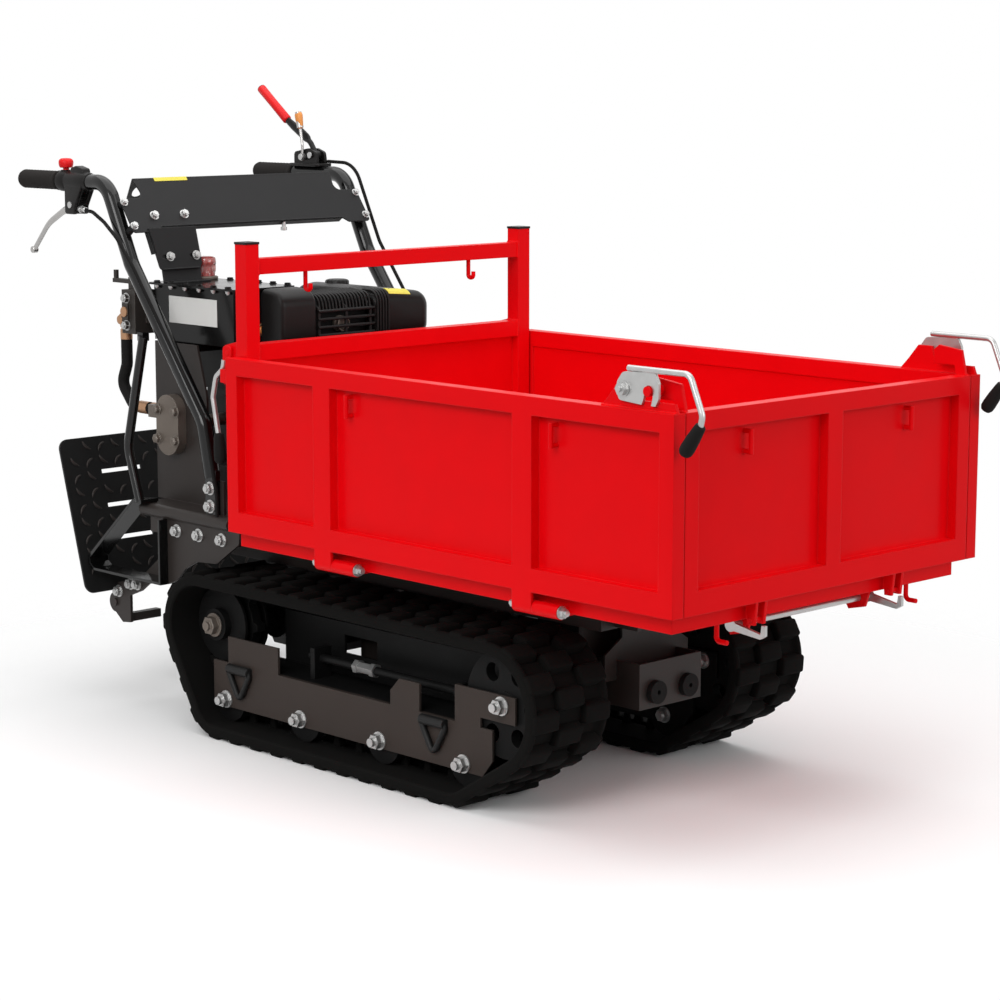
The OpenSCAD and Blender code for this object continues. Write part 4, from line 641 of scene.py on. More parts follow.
BELT = belt_line()
belt_run = sum((BELT[(i + 1) % len(BELT)][0] - BELT[i][0]).length for i in range(len(BELT)))
LUGS = round(belt_run / LUG_PITCH)
print("belt", round(belt_run), "mm round,", LUGS, "lugs a row")

# %% [markdown]
# A belt's section is drawn once, across the belt: thick shoulders at both edges and a groove in the middle of the inner
# face. Every point of the line carries one copy of that section, and the copies are skinned into a closed band.

# %% Belt carcass
SHOULDER = [(-90, -7), (-90, 4), (-88.6, 8.6), (-86, 11), (-82.5, 11.4), (-79, 9.6), (-76, 4.5), (-72, 0.6), (-66, 0)]
GROOVE = [(87, -10), (11, -10), (11, -3.6), (-11, -3.6), (-11, -10)]
SECTION = [(-87, -10)] + SHOULDER + [(-y, h) for y, h in SHOULDER[::-1]] + GROOVE


def belt_carcass(middle_y):
    """The closed band of one belt."""
    bm = bmesh.new()
    skin(bm, [[bm.verts.new(mm(p.x + n.x * h, middle_y + y, p.y + n.y * h)) for y, h in SECTION] for p, n in BELT],
         closed=True)
    return bm


print("section points", len(SECTION))

# %% [markdown]
# A lug is a wide block with sloped flanks and soft edges, and a guide horn is a small one with a point. Each is made
# once and kept light, because the tree repeats it more than a hundred times.

# %% Lug and horn blanks
def blank(name, outline, width, soften):
    """A block with the given outline in X and Z, softened along its edges, for a tree to repeat."""
    bm = bmesh.new()
    skin(bm, [[bm.verts.new((x / 1000, y / 2000, z / 1000)) for x, z in outline] for y in (-width, width)])
    bmesh.ops.bevel(bm, geom=list(bm.edges), offset=soften / 1000, segments=3, profile=0.5, affect="EDGES")
    return placed(name, as_mesh(name, bm))


lug_blank = blank("lug_blank", [(-20, 3), (20, 3), (15, -16), (-15, -16)], 57, 4.2)
horn_blank = blank("horn_blank", [(-10, 8), (10, 8), (5.5, 28), (-5.5, 28)], 8, 1.6)
print("blanks", len(lug_blank.data.polygons), len(horn_blank.data.polygons))

# %% [markdown]
# The tree turns the belt's line into a curve and divides it into twice as many points as there are lugs in a row. Even
# points carry the two outer rows and odd points the middle row, so the rows are staggered as on a moulded belt.

# %% Lug tree
lug_tree, given = open_tree("belt_lugs", {"Lugs": 36, "Row Width": 0.06, "Horn Offset": 0.016})
loop = add_node(lug_tree, "GeometryNodeMeshToCurve", {"Mesh": given["Geometry"]})
even = add_node(lug_tree, "GeometryNodeResampleCurve",
                {"Curve": loop, "Count": number(lug_tree, "MULTIPLY", given["Lugs"], 2)})
across = add_node(lug_tree, "FunctionNodeAxesToRotation",
                  {"Primary Axis": add_node(lug_tree, "GeometryNodeInputTangent"), "Secondary Axis": (0, 1, 0)},
                  primary_axis="X", secondary_axis="Y")
odd_row = number(lug_tree, "MODULO", add_node(lug_tree, "GeometryNodeInputIndex"), 2)
even_row = number(lug_tree, "SUBTRACT", 1, odd_row)
lug_rows = []
for shape, points, offset, share in (
        (lug_blank, even_row, "Row Width", -1.0), (lug_blank, odd_row, "Row Width", 0.0),
        (lug_blank, even_row, "Row Width", 1.0), (horn_blank, odd_row, "Horn Offset", -1.0),
        (horn_blank, odd_row, "Horn Offset", 1.0)):
    info = add_node(lug_tree, "GeometryNodeObjectInfo", {"Object": shape})
    spot = instances(lug_tree, even, info.outputs["Geometry"], Selection=points, Rotation=across)
    aside = add_node(lug_tree, "ShaderNodeCombineXYZ", {"Y": number(lug_tree, "MULTIPLY", given[offset], share)})
    move = add_node(lug_tree, "GeometryNodeTranslateInstances",
                    {"Instances": spot, "Translation": aside, "Local Space": False})
    lug_rows.append(move.outputs[0])
close_tree(lug_tree, given, joined(lug_tree, lug_rows))

# %% [markdown]
# Both belts run the same tree on their own line, one track's width to each side. The blanks have done their work then
# and are removed.

# %% Both belts
TRACK_Y = 250
for s, side in SIDES:
    points = [(mm(p.x, s * TRACK_Y, p.y), Z, 1.0) for p, _ in BELT]
    ring_edges = [(i, (i + 1) % len(points)) for i in range(len(points))]
    grow(f"belt_lugs_{side}", seeds("belt_line", points, ring_edges), lug_tree, {"Lugs": LUGS}, belt_rubber,
         "chassis", sharp=50)
    band = keep(f"belt_band_{side}", belt_carcass(s * TRACK_Y), belt_rubber, "chassis", sharp=40)
    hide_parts(f"track_belt_{side}")
for spare in (lug_blank, horn_blank):
    bpy.data.objects.remove(spare)

# %% [markdown]
# The operator's step is a flat tread plate with rounded corners and six slots. Its raised marks are short crescents
# that lean left and right in turn. A tree bends a flattened ball into a crescent and lays it out on a grid in the
# plate's own plane, and the grid leaves out those that would fall on a slot.

# %% Tread on the step
STEP_LEAN = math.radians(16)
SLOTS = [(z, z + 8) for z in (122, 188, 256)]


def on_step(across_y, up, proud):
    """A point on the leaning step plate: across, up the plate, and out of its rear face."""
    u = Vector((math.sin(-STEP_LEAN), 0, math.cos(STEP_LEAN)))
    v = Vector((-math.cos(STEP_LEAN), 0, -math.sin(STEP_LEAN)))
    return mm(-505, across_y, 193) + (u * up + v * proud) / 1000


tread_tree, given = open_tree("tread_crescents", {"Length": 0.025, "Width": 0.0060, "Height": 0.0024, "Bend": 24.0})
ball = add_node(tread_tree, "GeometryNodeMeshUVSphere", {"Segments": 14, "Rings": 6, "Radius": 1.0})
shape = add_node(tread_tree, "ShaderNodeCombineXYZ", {"X": number(tread_tree, "MULTIPLY", given["Length"], 0.5),
                                                      "Y": number(tread_tree, "MULTIPLY", given["Width"], 0.5),
                                                      "Z": given["Height"]})
squeeze = add_node(tread_tree, "GeometryNodeTransform", {"Geometry": ball, "Scale": shape})
here = add_node(tread_tree, "ShaderNodeSeparateXYZ", {0: add_node(tread_tree, "GeometryNodeInputPosition")})
squared = number(tread_tree, "MULTIPLY", here.outputs["X"], here.outputs["X"])
bow = add_node(tread_tree, "ShaderNodeCombineXYZ", {"Y": number(tread_tree, "MULTIPLY", squared, given["Bend"])})
bend = add_node(tread_tree, "GeometryNodeSetPosition", {"Geometry": squeeze, "Offset": bow})
lean_to = add_node(tread_tree, "FunctionNodeAxesToRotation",
                   {"Primary Axis": tuple(on_step(0, 0, 1000) - on_step(0, 0, 0)),
                    "Secondary Axis": attribute(tread_tree, "aim", "FLOAT_VECTOR")},
                   primary_axis="Z", secondary_axis="X")
close_tree(tread_tree, given, instances(tread_tree, given["Geometry"], bend, Rotation=lean_to))
for face, proud in (("rear", 4.0), ("front", 0.0)):
    places = []
    for row in range(10):
        for column in range(19):
            y, up = -306 + 34 * column, 42 + 30 * row
            in_slot = 134 < abs(y) < 260 and any(a - 12 < up < b + 12 for a, b in SLOTS)
            near_ear = abs(abs(y) - 254) < 22 and up < 76
            in_corner = abs(y) > 296 and (up < 50 or up > 300)
            if in_slot or near_ear or in_corner:
                continue
            tilt = math.radians(45 if (row + column) % 2 else -45)
            flat_way = (on_step(math.sin(tilt) * 1000, math.cos(tilt) * 1000, 0) - on_step(0, 0, 0)).normalized()
            places.append((on_step(y, up, proud), flat_way, 1.0))
    grow(f"step_tread_{face}", seeds("tread_seeds", places), tread_tree, {}, grey_coat, "step", sharp=60)

# %% [markdown]
# The grips are foam tubes with a thicker end. The sleeves on latches and levers are dipped plastic. All are turned
# pieces, so a short profile of lengths and radii is enough.

# %% Handlebar grips
HANDLE_Y, HANDLE_Z = 295, 1016
GRIP = [(0, 8), (0.6, 13), (3, 16.6), (8, 18.3)]
GRIP += [(12 + 5 * i, 17.6 + (0.7 if i % 2 else 0.0)) for i in range(21)]
GRIP += [(119, 18.6), (123, 19.2), (125, 18.4), (126, 15.3)]
for s, side in SIDES:
    grip = keep(f"foam_grip_{side}", turned((-745, s * HANDLE_Y, HANDLE_Z), X, GRIP, 40), foam, "chassis",
                sharp=70)
    if side == "right":
        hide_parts("handle_grips")
print("grip profile", len(GRIP))

# %% [markdown]
# The drive lever is a flat black bar with a red sleeve, and the throttle has a flat orange knob. Bar and knob are ring
# sweeps that are squeezed across, so a hand finds them.

# %% Drive lever sleeve, throttle knob
def sleeve_profile(length, r):
    """A dipped sleeve: rounded ends and a slightly thinner middle."""
    return [(0, r * 0.55), (0.8, r * 0.85), (3, r), (length * 0.5, r * 0.96), (length - 4, r), (length - 1, r * 0.86),
            (length, r * 0.5)]


keep("drive_lever_sleeve", dipped((-645, 297, 1122.7), (-733.5, 297, 1190.1), sleeve_profile, 9.5), red_sleeve,
     "drive_lever", sharp=60)
low, high = mm(-579.6, 277, 1107), mm(-586.4, 277, 1142)
knob = ring_mesh([low + (high - low) * t for t in (0, 0.05, 0.2, 0.5, 0.8, 0.94, 1.0)],
                 [r / 1000 for r in (4, 6.5, 7.6, 8.8, 9.4, 7.5, 4)], 28, flat=0.82)
keep("throttle_knob", knob, orange_knob, "throttle_lever", sharp=60)
BAR = [(-575, 1082, 5.8), (-579, 1085, 8.2), (-584, 1088, 9.6), (-602, 1098.5, 10), (-626, 1111.5, 9), (-650, 1126, 7)]
bar = ring_mesh([mm(x, 297, z) for x, z, _ in BAR], [r / 1000 for _, _, r in BAR], flat=0.6)
keep("drive_lever_bar", bar, moulded_black, "drive_lever", sharp=60)
print("lever bar points", len(BAR))

# %% [markdown]
# The stop button is a red mushroom on a short stem. One turned profile makes stem, collar and cap, and it moves down as
# one piece when it is pressed.

# %% Stop button
BUTTON = [(-1.5, 5.9), (4, 5.9), (4.02, 10), (5, 12.4), (8, 13.6), (13, 14.4), (17, 14.2), (20, 12.4), (22, 9.0),
          (22.6, 2)]
button = keep("stop_mushroom", turned((-600, -HANDLE_Y, 1037), Z, BUTTON, 36), red_sleeve, "stop_button",
              sharp=45)
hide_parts("stop_button")
print("button", len(BUTTON))

# %% [markdown]
# The clutch lever is a bright blade that bends down behind the grip. A flattened ring travels along its bent line, with
# a turned eye at the pivot and a rounded end, so a hand can't slip off.

# %% Clutch lever
BLADE = [(-566, 971), (-612, 957), (-664, 931), (-716, 877)]
EYE = [(0, 4.05), (0.1, 8.4), (0.8, 9), (11.2, 9), (11.9, 8.4), (12, 4.05)]
BLADE_END = [(0, 3), (0.1, 5.6), (1.2, 6.6), (10.8, 6.6), (11.9, 5.6), (12, 3)]
lever_line = filleted([mm(x, -HANDLE_Y, z) for x, z in BLADE], 0.10, 10)
radii = [(7.5 - 2.2 * i / (len(lever_line) - 1)) / 1000 for i in range(len(lever_line))]
clutch = keep("clutch_blade", ring_mesh(lever_line, radii, 20, flat=0.72), bright_steel, "clutch_lever",
              sharp=60)
keep("clutch_eye", turned((-566, -301, 971), Y, EYE, 28), bright_steel, "clutch_lever")
keep("clutch_end", turned((-716, -301, 877), Y, BLADE_END, 28), bright_steel, "clutch_lever")
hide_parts("clutch_lever")
print("clutch lever points", len(lever_line))

# %% [markdown]
# The hydraulic hose runs from the valve down to the pump, with swaged copper-coloured fittings at both ends. The hose
# itself is a filleted ring sweep; the fittings are turned, and their hexagons come from turning with six sides.

# %% Hose and fittings
HOSE = [(-490, 713), (-490, 663), (-507, 625), (-470, 583), (-392, 583)]
hose = keep("hydraulic_hose_skin", ring_mesh(filleted([mm(x, -240, z) for x, z in HOSE], 0.024, 10), 0.0112, 28),
            soft_rubber, "chassis", sharp=60)
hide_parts("hydraulic_hose")
FITTINGS = [
    ("hose_ferrule_top", (-490, -240, 752), -Z, 28,
     [(0, 9), (0.5, 11.6), (16, 11.6), (17, 10), (20, 10), (21, 11.8), (40, 11.8), (41, 9)]),
    ("hose_elbow", (-506, -240, 747), (33, 0, -12), 6,
     [(0, 4), (1, 8), (9, 8), (9.1, 10.5), (19, 10.5), (19.1, 7.5), (33, 7.5), (33.5, 5)]),
    ("hose_banjo", (-494, -254, 750), Y, 24,
     [(0, 5), (0.5, 8.5), (6, 8.5), (6.1, 12), (22, 12), (22.1, 8.5), (27, 8.5), (28, 5)]),
    ("hose_ferrule_low", (-448, -240, 583), X, 28,
     [(0, 9), (0.5, 12.3), (30, 12.3), (30.1, 9.5), (40, 9.5), (40.1, 12.5), (55, 12.5), (56, 9)]),
    ("valve_spool", (-454, -273, 769), Y, 28, [(0, 6), (0.5, 10), (8.5, 10), (9, 8)]),
]
for name, place, way, sides, profile in FITTINGS:
    keep(name, turned(place, way, profile, sides), copper_fitting, "chassis")
print("fittings", len(FITTINGS))

# %% [markdown]
# The breather on the tank is a clear, faintly red plastic dome with dimples, on a grey base. A profile gives the body,
# and pushing some of its points inwards gives the dimples.

# %% Breather cap
BREATHER_X, BREATHER_Y, LID_TOP = -384, -126, 828
BREATHER = [(6, 12), (6.1, 18), (13, 18.5), (16, 19.5), (20, 19.8), (24, 19.8), (28, 19.8), (32, 20.4), (38, 20.2),
            (42, 18.6), (44, 15), (45, 6)]
BASE = [(0, 20), (0.2, 23.5), (1.2, 24), (5, 24), (6.2, 22.5), (6.6, 17)]
FILTER = [(0, 9), (0.2, 12), (20, 12), (22, 13), (31, 13), (33, 8)]
foot = (BREATHER_X, BREATHER_Y, LID_TOP)
dome = turned(foot, Z, BREATHER, 48)
flute(dome, foot, (LID_TOP + 15, LID_TOP + 30), 8, 0.91, 0.09)
clear_red = finish("clear_red_plastic", (0.60, 0.30, 0.28), 0.06, grain=300, bump=0.02, edge=0.8, spread=70,
                   mottle=0.35, coat=0.6)
clear_red.node_tree.nodes["Principled BSDF"].inputs["Transmission Weight"].default_value = 0.75
cap = keep("breather_dome", dome, clear_red, "chassis", sharp=35)
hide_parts("breather_cap")
keep("breather_base", turned(foot, Z, BASE, 40), cast_metal, "chassis")
keep("breather_filter", turned((BREATHER_X, BREATHER_Y, LID_TOP + 6), Z, FILTER), red_sleeve, "chassis")
print("breather points", len(BREATHER))

# %% [markdown]
# Folded sheet metal starts as flat outlines with rounded corners and holes. Each outline is filled, given its thickness
# and set in its own plane, the way a laser cutter and a press brake would make it. Moulded covers start the same way,
# and the edges of their two ends are rounded over.

# %% Flat sheets and moulded blocks
def rounded_outline(corners, steps=5):
    """A closed flat outline; each corner holds two places and a radius in millimetres."""
    outline = []
    for i, (x, y, r) in enumerate(corners):
        b = Vector((x, y))
        if r == 0:
            outline.append(b)
            continue
        a, c = Vector(corners[i - 1][:2]), Vector(corners[(i + 1) % len(corners)][:2])
        u, v = (a - b).normalized(), (c - b).normalized()
        half = u.angle(v) / 2
        cut = min(r / math.tan(half), 0.48 * (a - b).length, 0.48 * (c - b).length)
        radius = cut * math.tan(half)
        middle = b + (u + v).normalized() * (cut / math.cos(half))
        begin, end = b + u * cut - middle, b + v * cut - middle
        first = math.atan2(begin.y, begin.x)
        sweep = (math.atan2(end.y, end.x) - first + math.pi) % (2 * math.pi) - math.pi
        for k in range(steps + 1):
            t = first + sweep * k / steps
            outline.append(middle + radius * Vector((math.cos(t), math.sin(t))))
    return outline


def oblong(x0, x1, y0, y1, r=0):
    """The outline of a plain rectangle, with one radius for all its corners."""
    return rounded_outline([(x0, y0, r), (x1, y0, r), (x1, y1, r), (x0, y1, r)])


def oval(x, y, half_x, half_y, lean=0.0, count=20):
    """A closed oval hole about a middle, leaned over by an angle."""
    turn = Matrix.Rotation(lean, 2)
    return [Vector((x, y)) + turn @ Vector((half_x * math.cos(t), half_y * math.sin(t)))
            for t in (2 * math.pi * k / count for k in range(count))]


def along_from(x):
    """Sets an outline of sides and heights at a station, thickened forwards."""
    return lambda a, b, t: mm(x + t, a, b)


def across_from(y):
    """Sets an outline of stations and heights at a side, thickened to the left."""
    return lambda a, b, t: mm(a, y + t, b)


def up_from(z):
    """Sets an outline of stations and sides at a height, thickened upwards."""
    return lambda a, b, t: mm(a, b, z + t)


def flat_sheet(outline, place, thick, holes=()):
    """Fills an outline with holes; place turns two flat sizes and a depth into the frame."""
    loops = [[Vector((p[0], p[1], 0)) for p in loop] for loop in (outline, *holes)]
    points = [p for loop in loops for p in loop]
    bm = bmesh.new()
    near = [bm.verts.new(place(p.x, p.y, 0)) for p in points]
    far = [bm.verts.new(place(p.x, p.y, thick)) for p in points]
    for a, b, c in tessellate_polygon(loops):
        bm.faces.new((near[a], near[b], near[c]))
        bm.faces.new((far[c], far[b], far[a]))
    first = 0
    for loop in loops:
        for k in range(len(loop)):
            i, j = first + k, first + (k + 1) % len(loop)
            bm.faces.new((near[i], near[j], far[j], far[i]))
        first += len(loop)
    bmesh.ops.recalc_face_normals(bm, faces=bm.faces)
    return bm


def moulded(outline, place, depth, soften):
    """A solid from an outline and a depth, its two ends rounded over."""
    bm = bmesh.new()
    ends = skin(bm, [[bm.verts.new(place(p[0], p[1], t)) for p in outline] for t in (0, depth)])
    rim = [e for f in ends for e in f.edges]
    bmesh.ops.bevel(bm, geom=rim, offset=soften / 1000, segments=6, profile=0.5, affect="EDGES")
    return bm


print("sheet helpers ready")

# %% [markdown]
# The console is one folded sheet across both handlebar tubes: a front face with ears that are bolted to the tubes, a
# top strip with an oval hole near each end, and small return flanges that stiffen its edges.

# %% Console
front, ridge, rear = Vector((-380, 923)), Vector((-452, 1023)), Vector((-521, 976))
up_front, back_top = (ridge - front).normalized(), (rear - ridge).normalized()
out_front, out_top = Vector((up_front.y, -up_front.x)), Vector((back_top.y, -back_top.x))
face_way = Vector((out_front.x, 0, out_front.y))
EAR_Y, EAR_BOLTS = 289, ((17, 20), (70.5, 11))


def on_front(y, up, depth):
    """A point of the front face: across, up from its lower edge, and behind it."""
    p = front + up_front * up - out_front * depth
    return mm(p.x, y, p.y)


def on_top(y, back, depth):
    """A point of the top strip: across, back from the ridge, and below it."""
    p = ridge + back_top * back - out_top * depth
    return mm(p.x, y, p.y)


FRONT_FACE = [(-295, 3, 6), (-240, 3, 5), (-228, 12, 5), (228, 12, 5), (240, 3, 5), (295, 3, 6), (295, 79, 9),
              (237, 79, 14), (247, 123.2, 2), (-247, 123.2, 2), (-237, 79, 14), (-295, 79, 9)]
TOP_STRIP = [(-247, 0, 1), (247, 0, 1), (213, 84, 8), (-213, 84, 8)]
slant = math.atan2(34, 84)
console_parts = [
    flat_sheet(rounded_outline(FRONT_FACE), on_front, 3),
    flat_sheet(rounded_outline(TOP_STRIP), on_top, 3, [oval(s * 206, 44, 14, 24, s * slant) for s, _ in SIDES]),
    flat_sheet(oblong(-226, 226, 0, 14), lambda a, b, t: on_front(a, 12 + t, b), 2.6),
    flat_sheet(oblong(-140, 140, 0, 16), lambda a, b, t: on_top(a, 84 - t, b), 2.6),
]
for s, _ in SIDES:
    for up, gap in EAR_BOLTS:
        console_parts.append(turned(on_front(s * EAR_Y, up, 2), -face_way, [(0, 7), (gap, 7), (gap + 2, 5)], 20))
console = keep("console_sheet", gather_up(console_parts), console_coat, "chassis")
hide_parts("console_panel")
print("console faces", len(console.data.polygons))

# %% [markdown]
# Under the console a slotted plate leans down to the tank. Its lower edge is folded forwards, its outer edge backwards,
# and an angle bracket on the tank's lid takes its two bolts.

# %% Bracket plate
def on_bracket(y, z, depth):
    """A point on the leaning bracket plate, by height, and how far behind its front."""
    return mm(-381 + (925 - z) * 15 / 73 - 0.98 * depth, y, z - 0.2 * depth)


BRACKET = [(-262, 932, 2), (-150, 932, 2), (-146, 852, 12), (-246, 852, 10)]
bracket_parts = [
    flat_sheet(rounded_outline(BRACKET), on_bracket, 3, [oval(-226, 877, 13, 4.6), oval(-163, 877, 11, 4.6)]),
    flat_sheet(oblong(-238, -156, 0, 7), lambda a, b, t: on_bracket(a, 852 + t, -b), 2.4),
    flat_sheet(oblong(0, 48, 0, 15), lambda a, b, t: on_bracket(-262 + 0.2 * a + t, 932 - a, b), 2.6),
    flat_sheet(oblong(-240, -150, 828, 893), lambda a, b, t: on_bracket(a, b, 3.1 + t), 3),
    flat_sheet(oblong(-240, -150, -364, -336), lambda a, b, t: mm(b, a, LID_TOP + t), 3.4),
]
keep("bracket_plate", gather_up(bracket_parts), console_coat, "chassis")
print("bracket parts", len(bracket_parts))

# %% [markdown]
# The tank's lid is a plate with a rim wider than the tank, screwed down all round. Below the tank a plain apron plate
# closes the space in front of the engine's side. Both are outlines again, with the corners rounded.

# %% Tank lid and apron
LID_T = 4
lid = flat_sheet(oblong(-409, -147, -247, -95, 8), up_from(LID_TOP - LID_T), LID_T)
lid_piece = keep("lid_plate", lid, tank_gloss, "chassis")
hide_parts("tank_lid")
APRON = [(-396, 622, 10), (-178, 622, 14), (-170, 700, 4), (-170, 704, 0), (-396, 704, 0)]
keep("tank_apron", flat_sheet(rounded_outline(APRON), across_from(-152), 3), black_coat, "chassis")
print("lid", [round(v, 3) for v in lid_piece.dimensions])

# %% [markdown]
# Small bolts again use the bolt tree: the console's and bracket's bolts, the screws of the tank lid with their nuts
# below the rim, the pump cover and the valve.

# %% Screws on console, lid, pump and valve
console_spots = [(on_front(s * EAR_Y, up, 0), face_way, 0.54) for s, _ in SIDES for up, _ in EAR_BOLTS]
console_spots += [(on_front(y, 38, 0), face_way, 0.62) for y in (-233, -162)]
console_spots += [(on_bracket(y, 877, 0), (0.98, 0, 0.2), 0.60) for y in (-220, -158)]
bolt_set("console_screws", console_spots, {"Stud Length": 0.003}, zinc, "chassis")
lid_stations = [-384.7 + 43.7 * i for i in range(6)]
lid_spots = [(mm(x, y, LID_TOP), Z, 0.5) for x in lid_stations for y in (-242, -100) if x > -370 or y < -200]
bolt_set("lid_screws", lid_spots, {"Head Height": 0.007, "Stud Length": 0.001}, tank_gloss, "chassis")
nut_spots = [(mm(x, -242.5, LID_TOP - LID_T), -Z, 0.37) for x in lid_stations]
bolt_set("lid_nuts", nut_spots, {"Stud Length": 0.006}, zinc, "chassis")
pump_spots = [(mm(-330 + dx, -266, 561 + dz), -Y, 0.72) for dx in (-28, 28) for dz in (-28, 28)]
bolt_set("pump_screws", pump_spots, {"Stud Length": 0.002}, cast_metal, "chassis")
valve_spots = [(mm(-454, -264, z), -Y, 0.7) for z in (743, 795)]
bolt_set("valve_screws", valve_spots, {"Stud Length": 0.004}, zinc, "chassis")

# %% [markdown]
# The engine's covers are moulded: outlines with large radii, pushed through their depth, with rounded end edges. The
# air cleaner stands at the right, the smooth cover of the fuel tank with its ribbed cap at the left, and the exhaust
# sits between them.

# %% Moulded engine covers
CLEANER = rounded_outline([(-145, 709, 12), (-79, 709, 12), (-78, 822, 30), (-145, 829, 14)], 7)
EXHAUST = rounded_outline([(-150, 715, 12), (-104, 715, 10), (-100, 806, 26), (-150, 811, 12)], 7)
FUEL = rounded_outline([(42, 719, 26), (185, 719, 26), (186, 805, 30), (86, 816, 40), (42, 810, 26)], 7)
cleaner = keep("air_cleaner_cover", moulded(CLEANER, across_from(-186), 86, 9), moulded_black, "chassis",
               sharp=50)
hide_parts("air_cleaner")
exhaust = keep("exhaust_box", moulded(EXHAUST, across_from(-100), 140, 7), wheel_black, "chassis",
               sharp=50)
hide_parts("muffler")
fuel_parts = [moulded(FUEL, along_from(-330), 254, 24), moulded(oblong(77, 94, 653, 722, 3), along_from(-320), 95, 2)]
fuel = keep("fuel_cover", gather_up(fuel_parts), moulded_black, "chassis", sharp=50)
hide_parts("fuel_tank")
CAP_FOOT, CAP_RIBS = (-270, 110, 800), 18
fuel_cap = turned(CAP_FOOT, Z, [(0, 20), (9, 21), (10, 23.2), (18, 23.2), (20.5, 21.5), (22, 17)], 4 * CAP_RIBS)
flute(fuel_cap, CAP_FOOT, (809, 819), CAP_RIBS, 1, 0.03)
keep("fuel_cap", fuel_cap, moulded_black, "chassis", sharp=40)
print("covers", [len(o.data.polygons) for o in (cleaner, exhaust, fuel)])

# %% [markdown]
# Thin fins run over the rounded front of the exhaust's hood and of the fuel cover, and bars guard the hot outlet below.
# A fin is one bent rod: a tree repeats it at even steps across the machine, with the step as a named input.

# %% Cooling fins and guard bars
fin_tree, given = open_tree("fin_row", {"Count": 12, "Step": 0.008})
stride = add_node(fin_tree, "ShaderNodeCombineXYZ", {"Y": given["Step"]})
row = add_node(fin_tree, "GeometryNodeMeshLine", {"Count": given["Count"], "Offset": stride}, mode="OFFSET")
close_tree(fin_tree, given, instances(fin_tree, row, given["Geometry"]))


def fins(name, corners, y, radius, bend, flat, values, made):
    """A row of equal bent rods, starting at y."""
    rod = ring_mesh(filleted([mm(x, y, z) for x, z in corners], bend / 1000, 8), radius / 1000, 10, flat=flat)
    source = placed(f"{name}_rod", as_mesh(f"{name}_rod", rod))
    grow(name, source, fin_tree, values, made, "chassis", sharp=60)


fins("hood_fins", [(-83, 784), (-88, 810), (-142, 815)], -92, 2.9, 22, 0.75, {"Count": 16, "Step": 0.0083},
     moulded_black)
fins("cover_fins", [(-75.5, 734), (-75.5, 813.5), (-118, 813.5)], 45, 2.8, 24.5, 0.8, {"Count": 5, "Step": 0.0070},
     moulded_black)
guard_parts = [ring_mesh([mm(-79, y, 723 + 15 * i) for y in (-98, 40)], 0.003, 14) for i in range(5)]
for y in (-94, -27, 33):
    stay = [mm(x, y, z) for x, z in ((-102, 718), (-83, 718), (-83, 788), (-102, 796))]
    guard_parts.append(ring_mesh(filleted(stay, 0.006), 0.0034, 14))
keep("exhaust_guard", gather_up(guard_parts), engine_black, "chassis", sharp=60)
OUTLET = [(0, 15), (10, 15), (12, 13.4), (17, 13.4), (18, 14.6), (20, 14.6), (20.5, 12.6), (14, 12)]
keep("exhaust_outlet", turned((-106, -30, 756), X, OUTLET), cast_metal, "chassis")
print("guard parts", len(guard_parts))

# %% [markdown]
# At the engine's left end a pressed cover hides the fan and the starter rope. It is turned in soft steps, with a ring
# of ribs over its air slots and spokes on its face. One tree repeats a rib about a centre, and the count is an input.

# %% Starter cover
spoke_tree, given = open_tree("spoke_ring", {"Count": 24, "Centre X": 0.0, "Centre Y": 0.0, "Centre Z": 0.0})
hub = add_node(spoke_tree, "ShaderNodeCombineXYZ", {axis: given[f"Centre {axis}"] for axis in "XYZ"})
stack = add_node(spoke_tree, "GeometryNodeMeshLine", {"Offset": (0, 0, 0), "Count": given["Count"],
                                                      "Start Location": hub}, mode="OFFSET")
share = number(spoke_tree, "DIVIDE", 2 * math.pi, given["Count"])
angle = number(spoke_tree, "MULTIPLY", add_node(spoke_tree, "GeometryNodeInputIndex"), share)
swing = add_node(spoke_tree, "ShaderNodeCombineXYZ", {"Y": angle})
close_tree(spoke_tree, given, instances(spoke_tree, stack, given["Geometry"], Rotation=swing))
FAN_X, FAN_Z = -330, 569
COVER = [(0, 60), (0.1, 94), (2, 96), (28, 96), (32.5, 94), (35, 89), (35.4, 74), (44, 71.5), (48.5, 68.5), (51, 62),
         (51.2, 24), (48, 22), (48, 0.5)]
HANDLE = [(0, 5), (4, 5), (4.1, 9), (7, 10.4), (29, 10.4), (32, 8.6), (33, 4)]
HOUSING = [(FAN_X + 56, 617, 4), (FAN_X + 106, 617, 8), (FAN_X + 106, 661, 10), (FAN_X + 56, 661, 10)]
starter_parts = [turned((FAN_X, 95, FAN_Z), Y, COVER, 72), turned((FAN_X + 104, 112, 649), X, HANDLE, 24),
                 moulded(rounded_outline(HOUSING), across_from(95), 33, 5)]
shell = keep("starter_cover", gather_up(starter_parts), moulded_black, "chassis", sharp=40)
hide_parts("recoil_cover")
for name, inner, outer, r, count, y in (("starter_ribs", 74, 91, 2.6, 40, 130.2),
                                        ("starter_spokes", 30, 60, 2.8, 18, 146.4)):
    rib = ring_mesh([X * d / 1000 for d in (inner, inner + 1, outer - 1, outer)],
                    [r * k / 1000 for k in (0.5, 1, 1, 0.5)], 10)
    centre = mm(FAN_X, y, FAN_Z)
    grow(name, placed("rib", as_mesh("rib", rib)), spoke_tree,
         {"Count": count, "Centre X": centre.x, "Centre Y": centre.y, "Centre Z": centre.z}, moulded_black, "chassis",
         sharp=60)

# %% [markdown]
# The engine's cylinder carries cast fins over its top and rear, and the crankcase is closed by a cover with a row of
# bolts, a drain plug and an oil filler. Fins come from the fin tree and bolts from the bolt tree.

